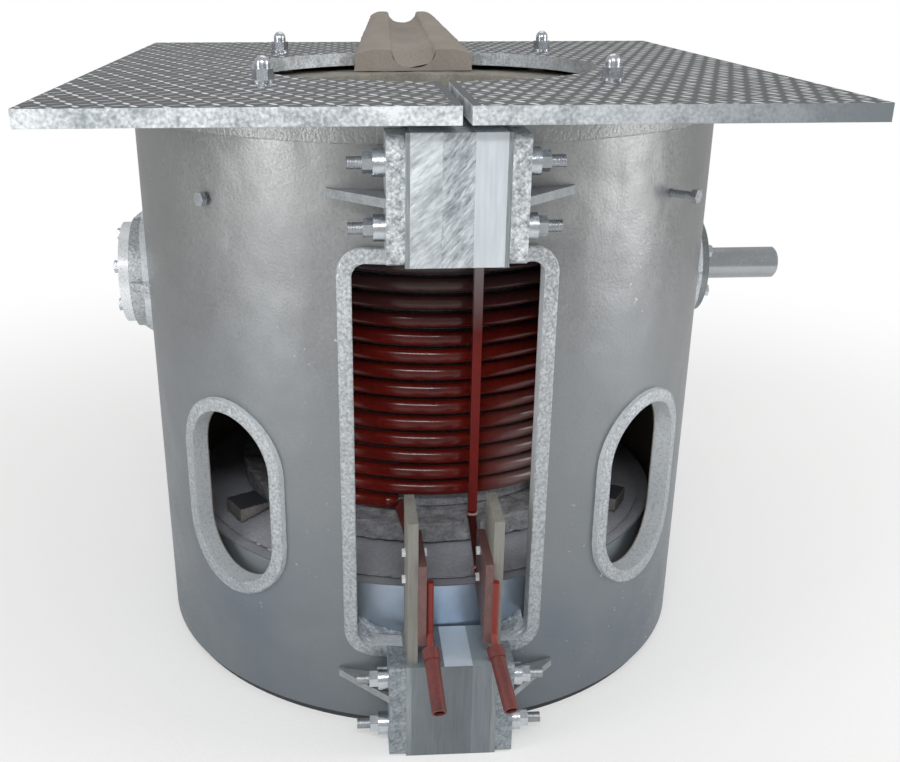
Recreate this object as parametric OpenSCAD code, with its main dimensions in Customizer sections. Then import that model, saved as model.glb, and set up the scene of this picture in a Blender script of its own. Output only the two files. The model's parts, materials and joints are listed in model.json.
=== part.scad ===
// Tilting crucible melting furnace with an induction coil in a cast aluminium shell.
// The origin is the centre of the base. X runs along the tilt axis, the window faces -Y
// and the pouring spout points along +Y.

/* [Shell] */
// Outside diameter of the cast shell
shell_d = 960; // [900:5:1020]
// Thickness of the shell wall
shell_wall = 25; // [18:1:32]
// Height of the cast shell
shell_h = 910; // [880:5:960]
// Height of the plain rim under the platform
rim_h = 37; // [25:1:50]
// How far the rim stands proud of the shell
rim_proud = 10; // [4:1:16]
// How far the rim reaches inside the shell wall
rim_inset = 5; // [0:1:10]
// How far behind the tilt axis the front castings of the shell meet the back one
shell_joint = 150; // [145:1:180]
// Height over the ground at which the lower and upper front castings of the shell meet
shell_tier = 535; // [530:1:540]

/* [Front window] */
// Width of the front window
window_w = 266; // [240:2:290]
// Height of the front window
window_h = 608; // [560:2:640]
// Height of the window sill over the ground
window_sill = 160; // [150:1:170]
// Corner radius of the front window
window_corner = 20; // [8:1:40]
// Width of the raised lip round the window
window_lip_w = 21; // [12:1:30]
// How far the lips stand proud of the shell
lip_proud = 8; // [4:1:14]

/* [Hand holes] */
// Width of each oval hand hole
hand_w = 174; // [150:2:200]
// Height of each oval hand hole
hand_h = 292; // [260:2:320]
// Height of the middle of the hand holes over the ground
hand_z = 362; // [340:1:390]
// Angle of the hand holes from the front
hand_angle = 43; // [41:1:46]
// Width of the raised lip round a hand hole
hand_lip_w = 21; // [10:1:24]

/* [Clamps] */
// Thickness of each upper ear
upper_ear_t = 24; // [16:1:30]
// Thickness of each lower ear
lower_ear_t = 26; // [16:1:30]
// Thickness of each upper insulating strip
upper_strip_t = 6; // [4:1:10]
// Thickness of each lower insulating strip
lower_strip_t = 8; // [4:1:10]
// Thickness of each upper insulating block, and the mean of the lower ones
block_t = 41; // [38:1:43]
// Thickness of the left block of the lower clamp
lower_left_block_t = 50; // [44:1:54]
// Thickness of the middle block of the lower clamp
lower_middle_block_t = 43; // [38:1:46]
// Distance of the clamps' front faces from the middle of the furnace
clamp_front = 546; // [530:1:560]
// Depth of the insulating blocks from front to back
block_depth = 109; // [95:1:112]
// Height of the upper clamp
upper_clamp_h = 171; // [150:1:180]
// Gap between the upper clamp and the platform
upper_clamp_drop = 13; // [6:1:20]
// Height of the lower clamp
lower_clamp_h = 164; // [150:1:180]
// How far the ears stop short of the blocks at top and bottom
ear_short = 3; // [0:1:6]
// Corner radius of the cast ears
ear_corner = 9; // [3:1:16]
// Sideways offset of the upper clamp
upper_clamp_x = 3; // [-6:1:6]
// Sideways offset of the lower clamp
lower_clamp_x = 7.5; // [-10:0.5:10]

/* [Clamp studs] */
// Thread diameter of the clamp studs
stud_d = 16; // [12:1:18]
// Distance of the studs behind the clamps' front faces
stud_setback = 34; // [28:1:40]
// Distance of the outer studs from the end of the clamp
stud_end = 41; // [34:1:48]
// Distance between the two studs of a clamp
stud_pitch = 84; // [70:1:90]
// Diameter of the spacer bushes
bush_d = 36; // [32:1:40]
// Length of the spacer bushes
bush_l = 16; // [10:1:20]
// Size of the stud nuts across corners
nut_d = 27.7; // [26:0.1:30]
// Thickness of the stud nuts
nut_t = 13; // [10:1:16]
// Length of the stud past its nut
stud_tail = 20; // [12:1:30]

/* [Fins] */
// Thickness of the stiffening fins beside the ears
fin_t = 12; // [8:1:16]
// Length of the fins along the shell
fin_w = 76; // [60:1:84]
// Distance of a fin behind the clamps' front faces
fin_setback = 12; // [4:1:24]
// Height of the upper fins over the bottom of the upper clamp
upper_fin_rise = 82; // [70:1:90]
// Height of the lower fins over the ground
lower_fin_z = 98; // [90:1:98]

/* [Platform] */
// Width of the platform
platform_w = 1058; // [1000:2:1100]
// Depth of the platform from front to back
platform_d = 1164; // [1100:2:1190]
// Thickness of the platform plates
platform_t = 23; // [16:1:30]
// Diameter of the hole over the crucible
platform_hole_d = 578; // [540:2:600]
// Gap between the two platform plates
platform_gap = 12; // [6:1:20]
// Sideways offset of the gap between the platform plates
platform_gap_x = 8; // [-8:1:10]

/* [Platform studs] */
// Thread diameter of the platform studs
post_d = 18; // [14:1:20]
// Distance of the platform studs from the middle, sideways
post_x = 251; // [245:1:265]
// Distance of the platform studs from the middle, front to back
post_y = 289; // [280:1:300]
// Diameter of the washers under the cap nuts
washer_d = 34; // [30:1:40]
// Thickness of the washers
washer_t = 4; // [3:1:8]
// Size of the cap nuts across corners
cap_nut_d = 31.2; // [29:0.1:33]
// Height of the hexagon of a cap nut
cap_nut_h = 15; // [12:1:20]
// Height of the dome of a cap nut
cap_dome_h = 18; // [16:1:24]
// Diameter of the dome of a cap nut
cap_dome_d = 22; // [21:1:24]
// Width of the lugs that hold the platform studs
lug_w = 46; // [40:1:60]

/* [Trunnions] */
// Height of the tilt axis over the ground
axis_z = 638; // [600:1:660]
// Diameter of the stub axle outside its cover
axle_d = 55; // [50:1:57]
// Diameter of the stub axle's journal in the bush and the cover
journal_d = 58; // [57:0.5:62]
// Length of the journal outside the cover
journal_proud = 11; // [10:1:16]
// Length of the stub axle outside its cover
axle_proud = 147; // [120:1:170]
// Chamfer at the end of the stub axle
axle_chamfer = 4; // [2:0.5:6]
// Running clearance between the axle and its bush
axle_clearance = 0.05; // [0.02:0.01:0.1]
// Wall of the bronze bush
bearing_wall = 8; // [6:1:10]
// Length of the bronze bush
bearing_l = 42; // [36:1:46]
// Diameter of the thrust collar on the axle
collar_d = 76; // [74:1:90]
// Thickness of the thrust collar
collar_t = 9; // [6:1:12]
// Diameter of the cast trunnion bosses
boss_d = 190; // [185:1:210]
// How far the right boss stands out from the shell
right_boss_l = 3; // [2:1:12]
// How far the left boss stands out from the shell
left_boss_l = 24; // [16:1:34]
// Diameter of the axle cover
cover_d = 168; // [160:1:176]
// Thickness of the axle cover
cover_t = 15; // [12:1:20]
// Diameter of the drive flange
flange_d = 174; // [166:1:180]
// Thickness of the drive flange
flange_t = 19; // [14:1:26]
// Diameter of the bore for the tilting gearbox's shaft
drive_bore_d = 60; // [50:1:66]
// Pitch circle of the cover and flange bolts
ring_pcd = 140; // [132:1:146]
// Thread diameter of the cover and flange bolts
ring_bolt_d = 12; // [8:1:14]
// Size of the bolt heads across corners
ring_head_d = 21.9; // [18:0.1:23]
// Thickness of the bolt heads
ring_head_t = 8; // [6:1:10]
// Depth of the bolt holes in the bosses
ring_bolt_depth = 16; // [12:1:20]
// Thickness of the ribs round the bosses
rib_t = 14; // [10:1:18]
// How far the ribs reach past the bosses
rib_reach = 42; // [20:1:44]

/* [Base and refractory] */
// Thickness of the floor plate
base_t = 16; // [12:1:24]
// How far the floor plate stands back from the shell
base_setback = 10; // [5:1:18]
// Outside diameter of the sheet metal drum
drum_d = 866; // [840:2:870]
// Thickness of the drum's sheet
drum_t = 3; // [2:0.5:5]
// Height of the drum's top edge over the ground
drum_top = 236; // [225:1:245]
// Width of the ledge on the cement shoulder round the coil seat
shoulder_ledge = 7; // [5:1:12]
// Rise of the cement shoulder
shoulder_rise = 22; // [14:1:30]
// How far the rough cement seat stands out from the coil
seat_proud = 38; // [34:1:40]
// Height of the rough cement seat
seat_h = 40; // [34:1:46]
// Outside diameter of the rammed crucible lining
lining_d = 524; // [500:2:530]
// Thickness of the lining at the crucible's mouth
lining_wall = 67; // [60:1:80]
// Thickness of the lining at the crucible's floor
lining_foot_wall = 87; // [82:1:95]
// Thickness of the crucible's floor
crucible_floor_t = 84; // [70:1:100]
// Radius of the corner at the crucible's floor
crucible_corner = 40; // [20:1:60]
// How far the mouth ring's bore stands back from the crucible's bore
mouth_step = 20; // [15:1:25]
// How far the mouth ring stands clear of the platform studs' middles
mouth_margin = 44.8; // [42:0.1:50]
// Clearance between the mouth ring and the platform
mouth_drop = 8; // [4:1:14]

/* [Coil] */
// Thickness of the cement between the lining and the coil
coil_cement_t = 12.9; // [10:0.1:15]
// Depth of the coil's tube
coil_tube_w = 22; // [18:1:22]
// Height of the coil's tube
coil_tube_h = 23; // [18:1:25]
// Distance from turn to turn
coil_pitch = 29; // [27:0.5:29.5]
// Full turns of the coil
coil_turns = 20; // [16:1:20]
// Angle of the coil's lower end from the front
coil_low_angle = -12; // [-14:1:-10]
// Angle of the coil's upper end from the front
coil_high_angle = 10; // [8:1:12]
// Bevel of the tube's outer corners
coil_bevel = 6; // [3:0.5:8]
// Clearance between the coil and its cement
coil_gap = 0.4; // [0.3:0.1:1]
// Angle of the coil posts and side bolts from the front
coil_post_angle = 44.8; // [44:0.1:46]
// Radial depth of a coil post
coil_post_t = 26; // [20:1:28]
// Width of a coil post
coil_post_w = 40; // [30:1:50]
// Diameter of the side bolts
side_bolt_d = 12; // [10:1:14]
// Length of the left side bolts outside the shell
side_bolt_short = 12; // [8:1:16]
// Length of the right side bolts outside the shell
side_bolt_long = 44; // [36:1:60]
// Height of the side bolts over the ground
side_bolt_z = 833; // [820:1:850]
// Length of the floor blocks under the coil
floor_block_l = 58; // [40:1:62]
// Width of the floor blocks
floor_block_w = 60; // [40:1:80]
// Height of the floor blocks over the drum's top edge
floor_block_h = 38; // [30:1:44]

/* [Leads] */
// Diameter of the coil's lead tubes
lead_d = 14; // [10:1:16]
// Diameter of the water tubes on the terminal bars
tube_d = 11; // [8:1:12]
// Width of the upright lead rail
rail_w = 14; // [12:1:20]
// Depth of the upright lead rail
rail_t = 14; // [10:1:16]
// Sideways place of the upright lead rail
rail_x = 60; // [56:1:62]
// Distance from the coil's outer face to the middle of the upright lead rail
rail_ahead = 26; // [23:1:27]
// Foot of the upright lead rail over the ground
rail_z = 316; // [312:1:322]
// Height and width of the notch in the coil seat behind the rail
lead_notch = 24; // [20:1:28]
// Thickness of the flat terminal bars
bar_t = 12; // [8:1:13]
// Height of the terminal bars' top edges over the boards' feet
bar_top = 172; // [168:1:180]
// Height of the leads over the bars' lower back corners
bar_lead_rise = 18; // [12:1:24]
// Height of a terminal bar at its back edge
bar_back_h = 92; // [80:1:110]
// Height of a terminal bar at its front edge
bar_front_h = 136; // [110:1:150]
// How far the terminal bars reach past the boards, behind and in front
bar_past = 8; // [4:1:10]
// Height of the water tubes' closed tops over the boards' feet
tube_top = 142; // [120:1:150]
// Diameter of the hose tails
tail_d = 22; // [20:1:24]
// Wall of the hose tails
tail_wall = 2.5; // [2:0.5:4]
// Diameter of the collars at the hose tails
tail_collar_d = 26; // [25:1:29]
// Length of the collars at the hose tails
tail_collar_l = 18; // [10:1:22]
// Height of the hose tails' upper ends over the boards' feet
tail_rise = 38; // [30:1:44]
// Height of the water tubes' elbows over the hose tails
tail_elbow = 16; // [10:1:20]
// Distance of the hose tails' upper ends in front of the clamp
tail_ahead = 10; // [8:1:14]
// Fall of a hose tail from end to end
tail_fall = 51; // [40:1:70]
// Forward reach of a hose tail from end to end
tail_forward = 84; // [60:1:95]
// Sideways lean of the left hose tail
left_tail_lean = 6; // [0:1:16]
// Sideways lean of the right hose tail
right_tail_lean = 14; // [0:1:20]

/* [Terminal boards] */
// Sideways offset of the pair of terminal boards
boards_x = 11; // [8:1:12]
// Thickness of the terminal boards
board_t = 15; // [10:1:16]
// Depth of the terminal boards from front to back
board_d = 95; // [80:1:97]
// Height of the terminal boards
board_h = 238; // [220:1:250]
// Distance between the middles of the two boards
board_pitch = 125; // [124:1:128]
// Distance of the boards behind the clamps' front faces
board_setback = 11; // [10:1:16]
// Thread diameter of the terminal bolts
board_bolt_d = 8; // [6:1:9]
// Size of the terminal bolts' heads across corners
board_head_d = 14.4; // [13:0.1:16]
// Thickness of the terminal bolts' heads
board_head_t = 5.3; // [4:0.1:7]
// Height of the lower terminal bolts over the boards' feet
board_bolt_rise = 111; // [100:1:120]
// Distance between the two terminal bolts of a board
board_bolt_pitch = 46; // [40:1:50]
// Distance of the terminal bolts behind the boards' front edges
board_bolt_setback = 62; // [56:1:70]

/* [Spout] */
// Width of the spout at the crucible
spout_w = 224; // [200:2:230]
// Width of the spout at its tip
spout_tip_w = 137; // [120:1:150]
// Width of the groove at the crucible
groove_w = 84; // [70:1:90]
// Width of the groove at the tip
groove_tip_w = 60; // [50:1:64]
// Distance of the spout's inner end from the middle
spout_start = 240; // [232:1:250]
// Distance of the spout's tip from the middle
spout_end = 600; // [590:1:604]
// Height of the spout's inner end over the mouth ring
spout_rise = 38; // [34:1:44]
// Height of the spout's tip over the platform
spout_tip_rise = 61; // [50:1:70]
// Depth of the groove at the tip
groove_tip_depth = 22; // [16:1:28]
// Thickness of the spout's floor at its inner end
groove_floor_t = 4; // [3:1:8]

/* [Hidden] */

// Facets of smooth round parts
$fn = 96;
// Overrun of every cut past the face that it leaves
over = 1;
// Gap between fitted curved faces, and round loose parts
seat_gap = 0.3;
// Clearance of a bolt or stud in its hole
hole_gap = 0.5;
// Clearance of a nut on its thread
thread_gap = 0.2;

shell_r = shell_d / 2;
shell_in_r = shell_r - shell_wall;
shell_z0 = base_t;
shell_z1 = shell_z0 + shell_h;
rim_r = shell_r + rim_proud;
rim_in_r = shell_in_r - rim_inset;
platform_z0 = shell_z1 + rim_h;
platform_z1 = platform_z0 + platform_t;

window_top = window_sill + window_h;
lip_r = shell_r + lip_proud;

upper_core_w = 3 * block_t + 2 * upper_strip_t;
lower_core_w = 3 * block_t + 2 * lower_strip_t;
upper_stack_w = upper_core_w + 2 * upper_ear_t;
lower_stack_w = lower_core_w + 2 * lower_ear_t;
lower_block_x0 = lower_strip_t - lower_core_w / 2;
upper_slot_w = upper_core_w + 2 * hole_gap;
lower_slot_w = lower_core_w + 2 * hole_gap;
upper_clamp_z1 = platform_z0 - upper_clamp_drop;
upper_clamp_z0 = upper_clamp_z1 - upper_clamp_h;
upper_stud_zs = [upper_clamp_z1 - stud_end, upper_clamp_z1 - stud_end - stud_pitch];
lower_stud_zs = [lower_clamp_h - stud_end, lower_clamp_h - stud_end - stud_pitch];
stud_y = -clamp_front + stud_setback;
upper_fin_z = upper_clamp_z0 + upper_fin_rise;

right_face_x = shell_r + right_boss_l;
left_face_x = shell_r + left_boss_l;
cover_face_x = right_face_x + cover_t;
flange_face_x = left_face_x + flange_t;
axle_end_x = cover_face_x + axle_proud;
bearing_r = journal_d / 2 + axle_clearance + bearing_wall;
journal_end_x = cover_face_x + journal_proud;
collar_room_x = right_face_x - collar_t - 2 * seat_gap;
bearing_x0 = collar_room_x - bearing_l;
// Wall of the housing that holds the bush, as a share of the bush's wall
sleeve_share = 1.5;
sleeve_r = bearing_r + sleeve_share * bearing_wall;
// Turn of each ring of bolts from the upright
cover_bolt_turn = 28;
flange_bolt_turn = 38;
ring_bolts = 6;

base_r = shell_r - base_setback;
drum_r = drum_d / 2;
shoulder_top = drum_top + shoulder_rise;
seat_top = shoulder_top + seat_h;
lining_r = lining_d / 2;
crucible_r = lining_r - lining_wall;
mouth_in_r = crucible_r + mouth_step;
mouth_out_r = norm([post_x, post_y]) - mouth_margin;

// Rings of each coil loop and sides of the tube
coil_rings = 24;
cement_r = lining_r + seat_gap + coil_cement_t;
coil_r = (cement_r + coil_gap) / cos(180 / coil_rings) + coil_tube_w;
seat_r = coil_r + seat_proud;
shoulder_r = seat_r + shoulder_ledge;
rail_y = coil_r + rail_ahead;
coil_loops = coil_turns - (coil_high_angle - coil_low_angle) / 360;
// Clearance of the lowest turn over the seat, in tube heights
coil_seat_share = 0.02;
coil_z0 = seat_top + coil_tube_h * (0.5 + coil_seat_share);
coil_z1 = coil_z0 + coil_pitch * coil_loops;
mouth_z1 = platform_z0 - mouth_drop;
mouth_z0 = coil_z1 + coil_tube_h / 2 + coil_tube_h * coil_seat_share;
coil_post_r = coil_r + 4 * coil_gap;

board_left_x = boards_x - board_pitch / 2;
board_right_x = boards_x + board_pitch / 2;
board_y0 = -clamp_front + board_setback;
board_y1 = board_y0 + board_d;
board_z0 = lower_clamp_h;
board_bolt_y = board_y0 + board_bolt_setback;
board_bolt_zs = [board_z0 + board_bolt_rise, board_z0 + board_bolt_rise + board_bolt_pitch];

spout_z0 = mouth_z1;
spout_z1 = spout_z0 + spout_rise;
spout_tip_z = platform_z1 + spout_tip_rise;

function xyz(radius, angle, z) = [radius * sin(angle), -radius * cos(angle), z];

// A ring or sleeve standing on z0
module ring(outer_r, inner_r, z0, h) {
    translate([0, 0, z0]) difference() {
        cylinder(h = h, r = outer_r);
        translate([0, 0, -over]) cylinder(h = h + 2 * over, r = inner_r);
    }
}

// A round bar along X from x0
module x_rod(x0, length, radius) {
    translate([x0, 0, 0]) rotate([0, 90, 0]) cylinder(h = length, r = radius);
}

// A hexagon along X from x0, with its size across corners
module x_hex(x0, length, corners_d) {
    translate([x0, 0, 0]) rotate([0, 90, 0]) cylinder(h = length, d = corners_d, $fn = 6);
}

// A box between two corners
module box(low, high) {
    translate(low) cube(high - low);
}

// A round bar between two points
module rod(from, to, radius) {
    run = to - from;
    translate(from) rotate([0, acos(run[2] / norm(run)), atan2(run[1], run[0])])
        cylinder(h = norm(run), r = radius, $fn = 48);
}

// A tube of round bars and round elbows through a list of points
module bent_rod(points, radius) {
    for (i = [0 : len(points) - 2]) rod(points[i], points[i + 1], radius);
    for (i = [1 : len(points) - 2]) translate(points[i]) sphere(r = radius * elbow_share, $fn = 48);
}

// A rectangle with round corners, centred
module round_rect(w, h, corner) {
    square([w - 2 * corner, h], center = true);
    square([w, h - 2 * corner], center = true);
    for (x = [-1, 1], y = [-1, 1])
        translate([x * (w / 2 - corner), y * (h / 2 - corner)]) circle(r = corner);
}

// An upright oval with half-round ends, centred
module oval(w, h) {
    square([w, h - w], center = true);
    for (y = [-1, 1]) translate([0, y * (h - w) / 2]) circle(r = w / 2);
}

// A shape pushed through the front wall of the shell at an angle from the front
module through_wall(angle, z) {
    translate([0, 0, z]) rotate([90, 0, angle]) translate([0, 0, shell_in_r / 2])
        linear_extrude(height = shell_r) children();
}

module window_shape(grow) {
    through_wall(0, window_sill + window_h / 2)
        round_rect(window_w + 2 * grow, window_h + 2 * grow, window_corner + grow);
}

module hand_hole_shape(side, grow) {
    through_wall(side * hand_angle, hand_z) oval(hand_w + 2 * grow, hand_h + 2 * grow);
}

// The skin that the raised lips are cut from
module lip_skin() {
    ring(lip_r, shell_in_r, shell_z0, shell_h);
}

// The slots that the upper and lower clamps pass through
module clamp_slots() {
    box([upper_clamp_x - upper_slot_w / 2, -clamp_front, window_top - window_lip_w],
        [upper_clamp_x + upper_slot_w / 2, -shell_in_r / 2, platform_z1]);
    box([lower_clamp_x - lower_slot_w / 2, -clamp_front, -over],
        [lower_clamp_x + lower_slot_w / 2, -shell_in_r / 2, window_sill + window_lip_w]);
}

// A triangular rib beside a trunnion boss, in the plane through the tilt axis
module boss_rib(face_x) {
    foot_x = shell_r * cos(asin((boss_d / 2 + rib_reach) / shell_r)) - shell_wall / 2;
    linear_extrude(height = rib_t, center = true)
        polygon([[foot_x, 0], [face_x, 0], [face_x, boss_d / 2], [foot_x, boss_d / 2 + rib_reach]]);
}

// A trunnion boss with its four ribs, on the right side
module boss(face_x) {
    translate([0, 0, axis_z]) difference() {
        union() {
            x_rod(shell_in_r, face_x - shell_in_r, boss_d / 2);
            for (turn = [0 : 90 : 270]) rotate([turn, 0, 0]) boss_rib(face_x);
        }
        translate([0, 0, -axis_z]) cylinder(h = platform_z1, r = shell_in_r + shell_wall / 4);
    }
}

// The whole shell: wall, window, hand holes, lips, clamp slots and trunnion bosses
module shell_form() {
    difference() {
        union() {
            ring(shell_r, shell_in_r, shell_z0, shell_h);
            intersection() {
                lip_skin();
                window_shape(window_lip_w);
                cylinder(h = upper_fin_z - fin_t / 2 - seat_gap, r = lip_r + over);
            }
            for (side = [-1, 1]) intersection() {
                lip_skin();
                hand_hole_shape(side, hand_lip_w);
            }
            boss(right_face_x);
            mirror([1, 0, 0]) boss(left_face_x);
        }
        window_shape(0);
        for (side = [-1, 1]) hand_hole_shape(side, 0);
        clamp_slots();
        translate([0, 0, axis_z]) {
            x_rod(bearing_x0 - over, shell_r, sleeve_r + thread_gap);
            mirror([1, 0, 0]) x_rod(shell_in_r - over, shell_r, drive_bore_d / 2 + over);
            ring_bolt_holes(right_face_x, cover_bolt_turn);
            mirror([1, 0, 0]) ring_bolt_holes(left_face_x, flange_bolt_turn);
        }
        for (side = [-1, 1], back = [0, 1]) side_bolt_hole(side, back);
    }
}

// The part of the shell between two corners
module shell_casting(low, high) {
    color("silver") intersection() {
        shell_form();
        box(low, high);
    }
}

module shell_lower_left() {
    shell_casting([-left_face_x - over, -lip_r - over, shell_z0], [0, shell_joint, shell_tier]);
}

module shell_lower_right() {
    shell_casting([0, -lip_r - over, shell_z0], [right_face_x + over, shell_joint, shell_tier]);
}

module shell_upper_left() {
    shell_casting([-left_face_x - over, -lip_r - over, shell_tier], [0, shell_joint, shell_z1]);
}

module shell_upper_right() {
    shell_casting([0, -lip_r - over, shell_tier], [right_face_x + over, shell_joint, shell_z1]);
}

module shell_back() {
    shell_casting([-left_face_x, shell_joint, shell_z0], [left_face_x, lip_r + over, shell_z1]);
}

// Puts its children at each bolt of a ring round the tilt axis
module at_ring_bolts(turn) {
    for (i = [1 : ring_bolts]) rotate([turn + 360 * i / ring_bolts, 0, 0])
        translate([0, ring_pcd / 2, 0]) children();
}

// Blind holes behind a boss face for the ring of bolts
module ring_bolt_holes(face_x, turn) {
    at_ring_bolts(turn)
        x_rod(face_x - ring_bolt_depth, ring_bolt_depth + over, ring_bolt_d / 2 + thread_gap);
}

function side_bolt_turn(side, back) = side * (back == 1 ? 180 - coil_post_angle : coil_post_angle);

module side_bolt_hole(side, back) {
    rotate([0, 0, side_bolt_turn(side, back)]) translate([0, -shell_r - over, side_bolt_z])
        rotate([-90, 0, 0]) cylinder(h = shell_wall + 2 * over, d = side_bolt_d + 2 * hole_gap);
}

// Rim cast round the top of the shell, with the lugs for the platform studs
module top_rim() {
    color("silver") difference() {
        union() {
            ring(rim_r, rim_in_r, shell_z1, rim_h);
            for (x = [-1, 1], y = [-1, 1]) lug([x * post_x, y * post_y]);
        }
        clamp_slots();
        for (x = [-1, 1], y = [-1, 1]) translate([x * post_x, y * post_y, shell_z1 - over])
            cylinder(h = rim_h + 2 * over, d = post_d + 2 * hole_gap);
    }
}

// A lug from the rim inward to a platform stud
module lug(place) {
    reach = norm(place);
    intersection() {
        translate([0, 0, shell_z1]) cylinder(h = rim_h, r = rim_in_r + rim_inset);
        rotate([0, 0, atan2(place[1], place[0])]) union() {
            box([reach, -lug_w / 2, shell_z1], [shell_r, lug_w / 2, platform_z0]);
            translate([reach, 0, shell_z1]) cylinder(h = rim_h, d = lug_w);
        }
    }
}

// Floor plate under the shell and the refractory
module floor_plate() {
    color("dimgray") difference() {
        cylinder(h = base_t, r = base_r);
        box([lower_clamp_x - lower_slot_w / 2, -clamp_front, -over],
            [lower_clamp_x + lower_slot_w / 2, -clamp_front + block_depth + seat_gap, base_t + over]);
    }
}

// Everything that an ear must stay clear of
module ear_keep_out() {
    cylinder(h = platform_z0, r = shell_r + seat_gap);
    translate([0, 0, shell_z1 - seat_gap]) cylinder(h = rim_h + over, r = rim_r + seat_gap);
    translate([0, 0, window_top - over]) cylinder(h = window_lip_w + seat_gap + over, r = lip_r + seat_gap);
    translate([0, 0, window_sill - window_lip_w - seat_gap])
        cylinder(h = window_lip_w + 2 * over, r = lip_r + seat_gap);
}

// A cast ear from x0 to x1, drilled for the studs
module ear(x0, x1, z0, z1, stud_zs) {
    depth = clamp_front - shell_r / 2;
    color("silver") difference() {
        translate([x0, -clamp_front + depth / 2, (z0 + z1) / 2]) rotate([90, 0, 90])
            linear_extrude(height = x1 - x0) round_rect(depth, z1 - z0, ear_corner);
        ear_keep_out();
        for (z = stud_zs)
            translate([0, stud_y, z]) x_rod(x0 - over, x1 - x0 + 2 * over, stud_d / 2 + hole_gap);
    }
}

module upper_ear(x0) {
    ear(x0, x0 + upper_ear_t, upper_clamp_z0 + ear_short, upper_clamp_z1 - ear_short, upper_stud_zs);
}

module lower_ear(x0) {
    ear(x0, x0 + lower_ear_t, 0, lower_clamp_h - ear_short, lower_stud_zs);
}

module upper_ear_left() {
    upper_ear(upper_clamp_x - upper_stack_w / 2);
}

module upper_ear_right() {
    upper_ear(upper_clamp_x + upper_core_w / 2);
}

module lower_ear_left() {
    lower_ear(lower_clamp_x - lower_stack_w / 2);
}

module lower_ear_right() {
    lower_ear(lower_clamp_x + lower_core_w / 2);
}

// A triangular fin between an ear's outer face and the shell, on the right side
module fin(x0, z) {
    translate([0, 0, z - fin_t / 2]) difference() {
        linear_extrude(height = fin_t) polygon([
            [x0, -clamp_front + fin_setback],
            [x0 + fin_w, -sqrt(pow(shell_r, 2) - pow(x0 + fin_w, 2)) - fin_t / 2],
            [x0 + fin_w, -shell_r / 2],
            [x0, -shell_r / 2]
        ]);
        translate([0, 0, -over]) cylinder(h = fin_t + 2 * over, r = shell_r + seat_gap);
    }
}

module ear_fins() {
    color("silver") {
        fin(upper_clamp_x + upper_stack_w / 2, upper_fin_z);
        mirror([1, 0, 0]) fin(upper_stack_w / 2 - upper_clamp_x, upper_fin_z);
        fin(lower_clamp_x + lower_stack_w / 2, lower_fin_z);
        mirror([1, 0, 0]) fin(lower_stack_w / 2 - lower_clamp_x, lower_fin_z);
    }
}

// One layer of a clamp's insulation from x0, drilled for the studs
module layer(x0, thickness, z0, z1, stud_zs) {
    difference() {
        box([x0, -clamp_front, z0], [x0 + thickness, -clamp_front + block_depth, z1]);
        for (z = stud_zs) translate([0, stud_y, z])
            x_rod(x0 - over, thickness + 2 * over, stud_d / 2 + hole_gap);
    }
}

module upper_layer(x, thickness) {
    layer(upper_clamp_x + x, thickness, upper_clamp_z0, upper_clamp_z1, upper_stud_zs);
}

module lower_layer(x, thickness) {
    layer(lower_clamp_x + x, thickness, 0, lower_clamp_h, lower_stud_zs);
}

module upper_clamp_strips() {
    color("gray") for (x = [-upper_core_w / 2, upper_core_w / 2 - upper_strip_t])
        upper_layer(x, upper_strip_t);
}

module upper_clamp_block_left() {
    color("lightgray") upper_layer(-1.5 * block_t, block_t);
}

module upper_clamp_block_middle() {
    color("darkgray") upper_layer(-0.5 * block_t, block_t);
}

module upper_clamp_block_right() {
    color("lightgray") upper_layer(0.5 * block_t, block_t);
}

module lower_clamp_strips() {
    color("gray") for (x = [-lower_core_w / 2, lower_core_w / 2 - lower_strip_t])
        lower_layer(x, lower_strip_t);
}

module lower_clamp_block_left() {
    color("lightgray") lower_layer(lower_block_x0, lower_left_block_t);
}

module lower_clamp_block_middle() {
    color("darkgray") lower_layer(lower_block_x0 + lower_left_block_t, lower_middle_block_t);
}

module lower_clamp_block_right() {
    color("lightgray") lower_layer(
        lower_block_x0 + lower_left_block_t + lower_middle_block_t,
        3 * block_t - lower_left_block_t - lower_middle_block_t);
}

// Puts its children at both ends of each clamp stud, with X outward from the ear's face
module at_stud_ends() {
    for (side = [0, 1]) {
        for (z = upper_stud_zs) translate([upper_clamp_x, stud_y, z]) mirror([side, 0, 0])
            translate([upper_stack_w / 2, 0, 0]) children();
        for (z = lower_stud_zs) translate([lower_clamp_x, stud_y, z]) mirror([side, 0, 0])
            translate([lower_stack_w / 2, 0, 0]) children();
    }
}

module clamp_studs() {
    end = bush_l + nut_t + stud_tail;
    color("slategray") {
        for (z = upper_stud_zs) translate([upper_clamp_x, stud_y, z])
            x_rod(-upper_stack_w / 2 - end, upper_stack_w + 2 * end, stud_d / 2);
        for (z = lower_stud_zs) translate([lower_clamp_x, stud_y, z])
            x_rod(-lower_stack_w / 2 - end, lower_stack_w + 2 * end, stud_d / 2);
    }
}

module clamp_bushes() {
    color("gainsboro") at_stud_ends() difference() {
        x_rod(0, bush_l, bush_d / 2);
        x_rod(-over, bush_l + 2 * over, stud_d / 2 + thread_gap);
    }
}

module clamp_nuts() {
    color("gainsboro") at_stud_ends() difference() {
        x_hex(bush_l, nut_t, nut_d);
        x_rod(bush_l - over, nut_t + 2 * over, stud_d / 2 + thread_gap);
    }
}

// The platform plate between x0 and x1
module platform_plate(x0, x1) {
    color("lightgray") difference() {
        box([x0, -platform_d / 2, platform_z0], [x1, platform_d / 2, platform_z1]);
        translate([0, 0, platform_z0 - over]) cylinder(h = platform_t + 2 * over, d = platform_hole_d);
        for (x = [-1, 1], y = [-1, 1]) translate([x * post_x, y * post_y, platform_z0 - over])
            cylinder(h = platform_t + 2 * over, d = post_d + 2 * hole_gap);
    }
}

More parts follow.
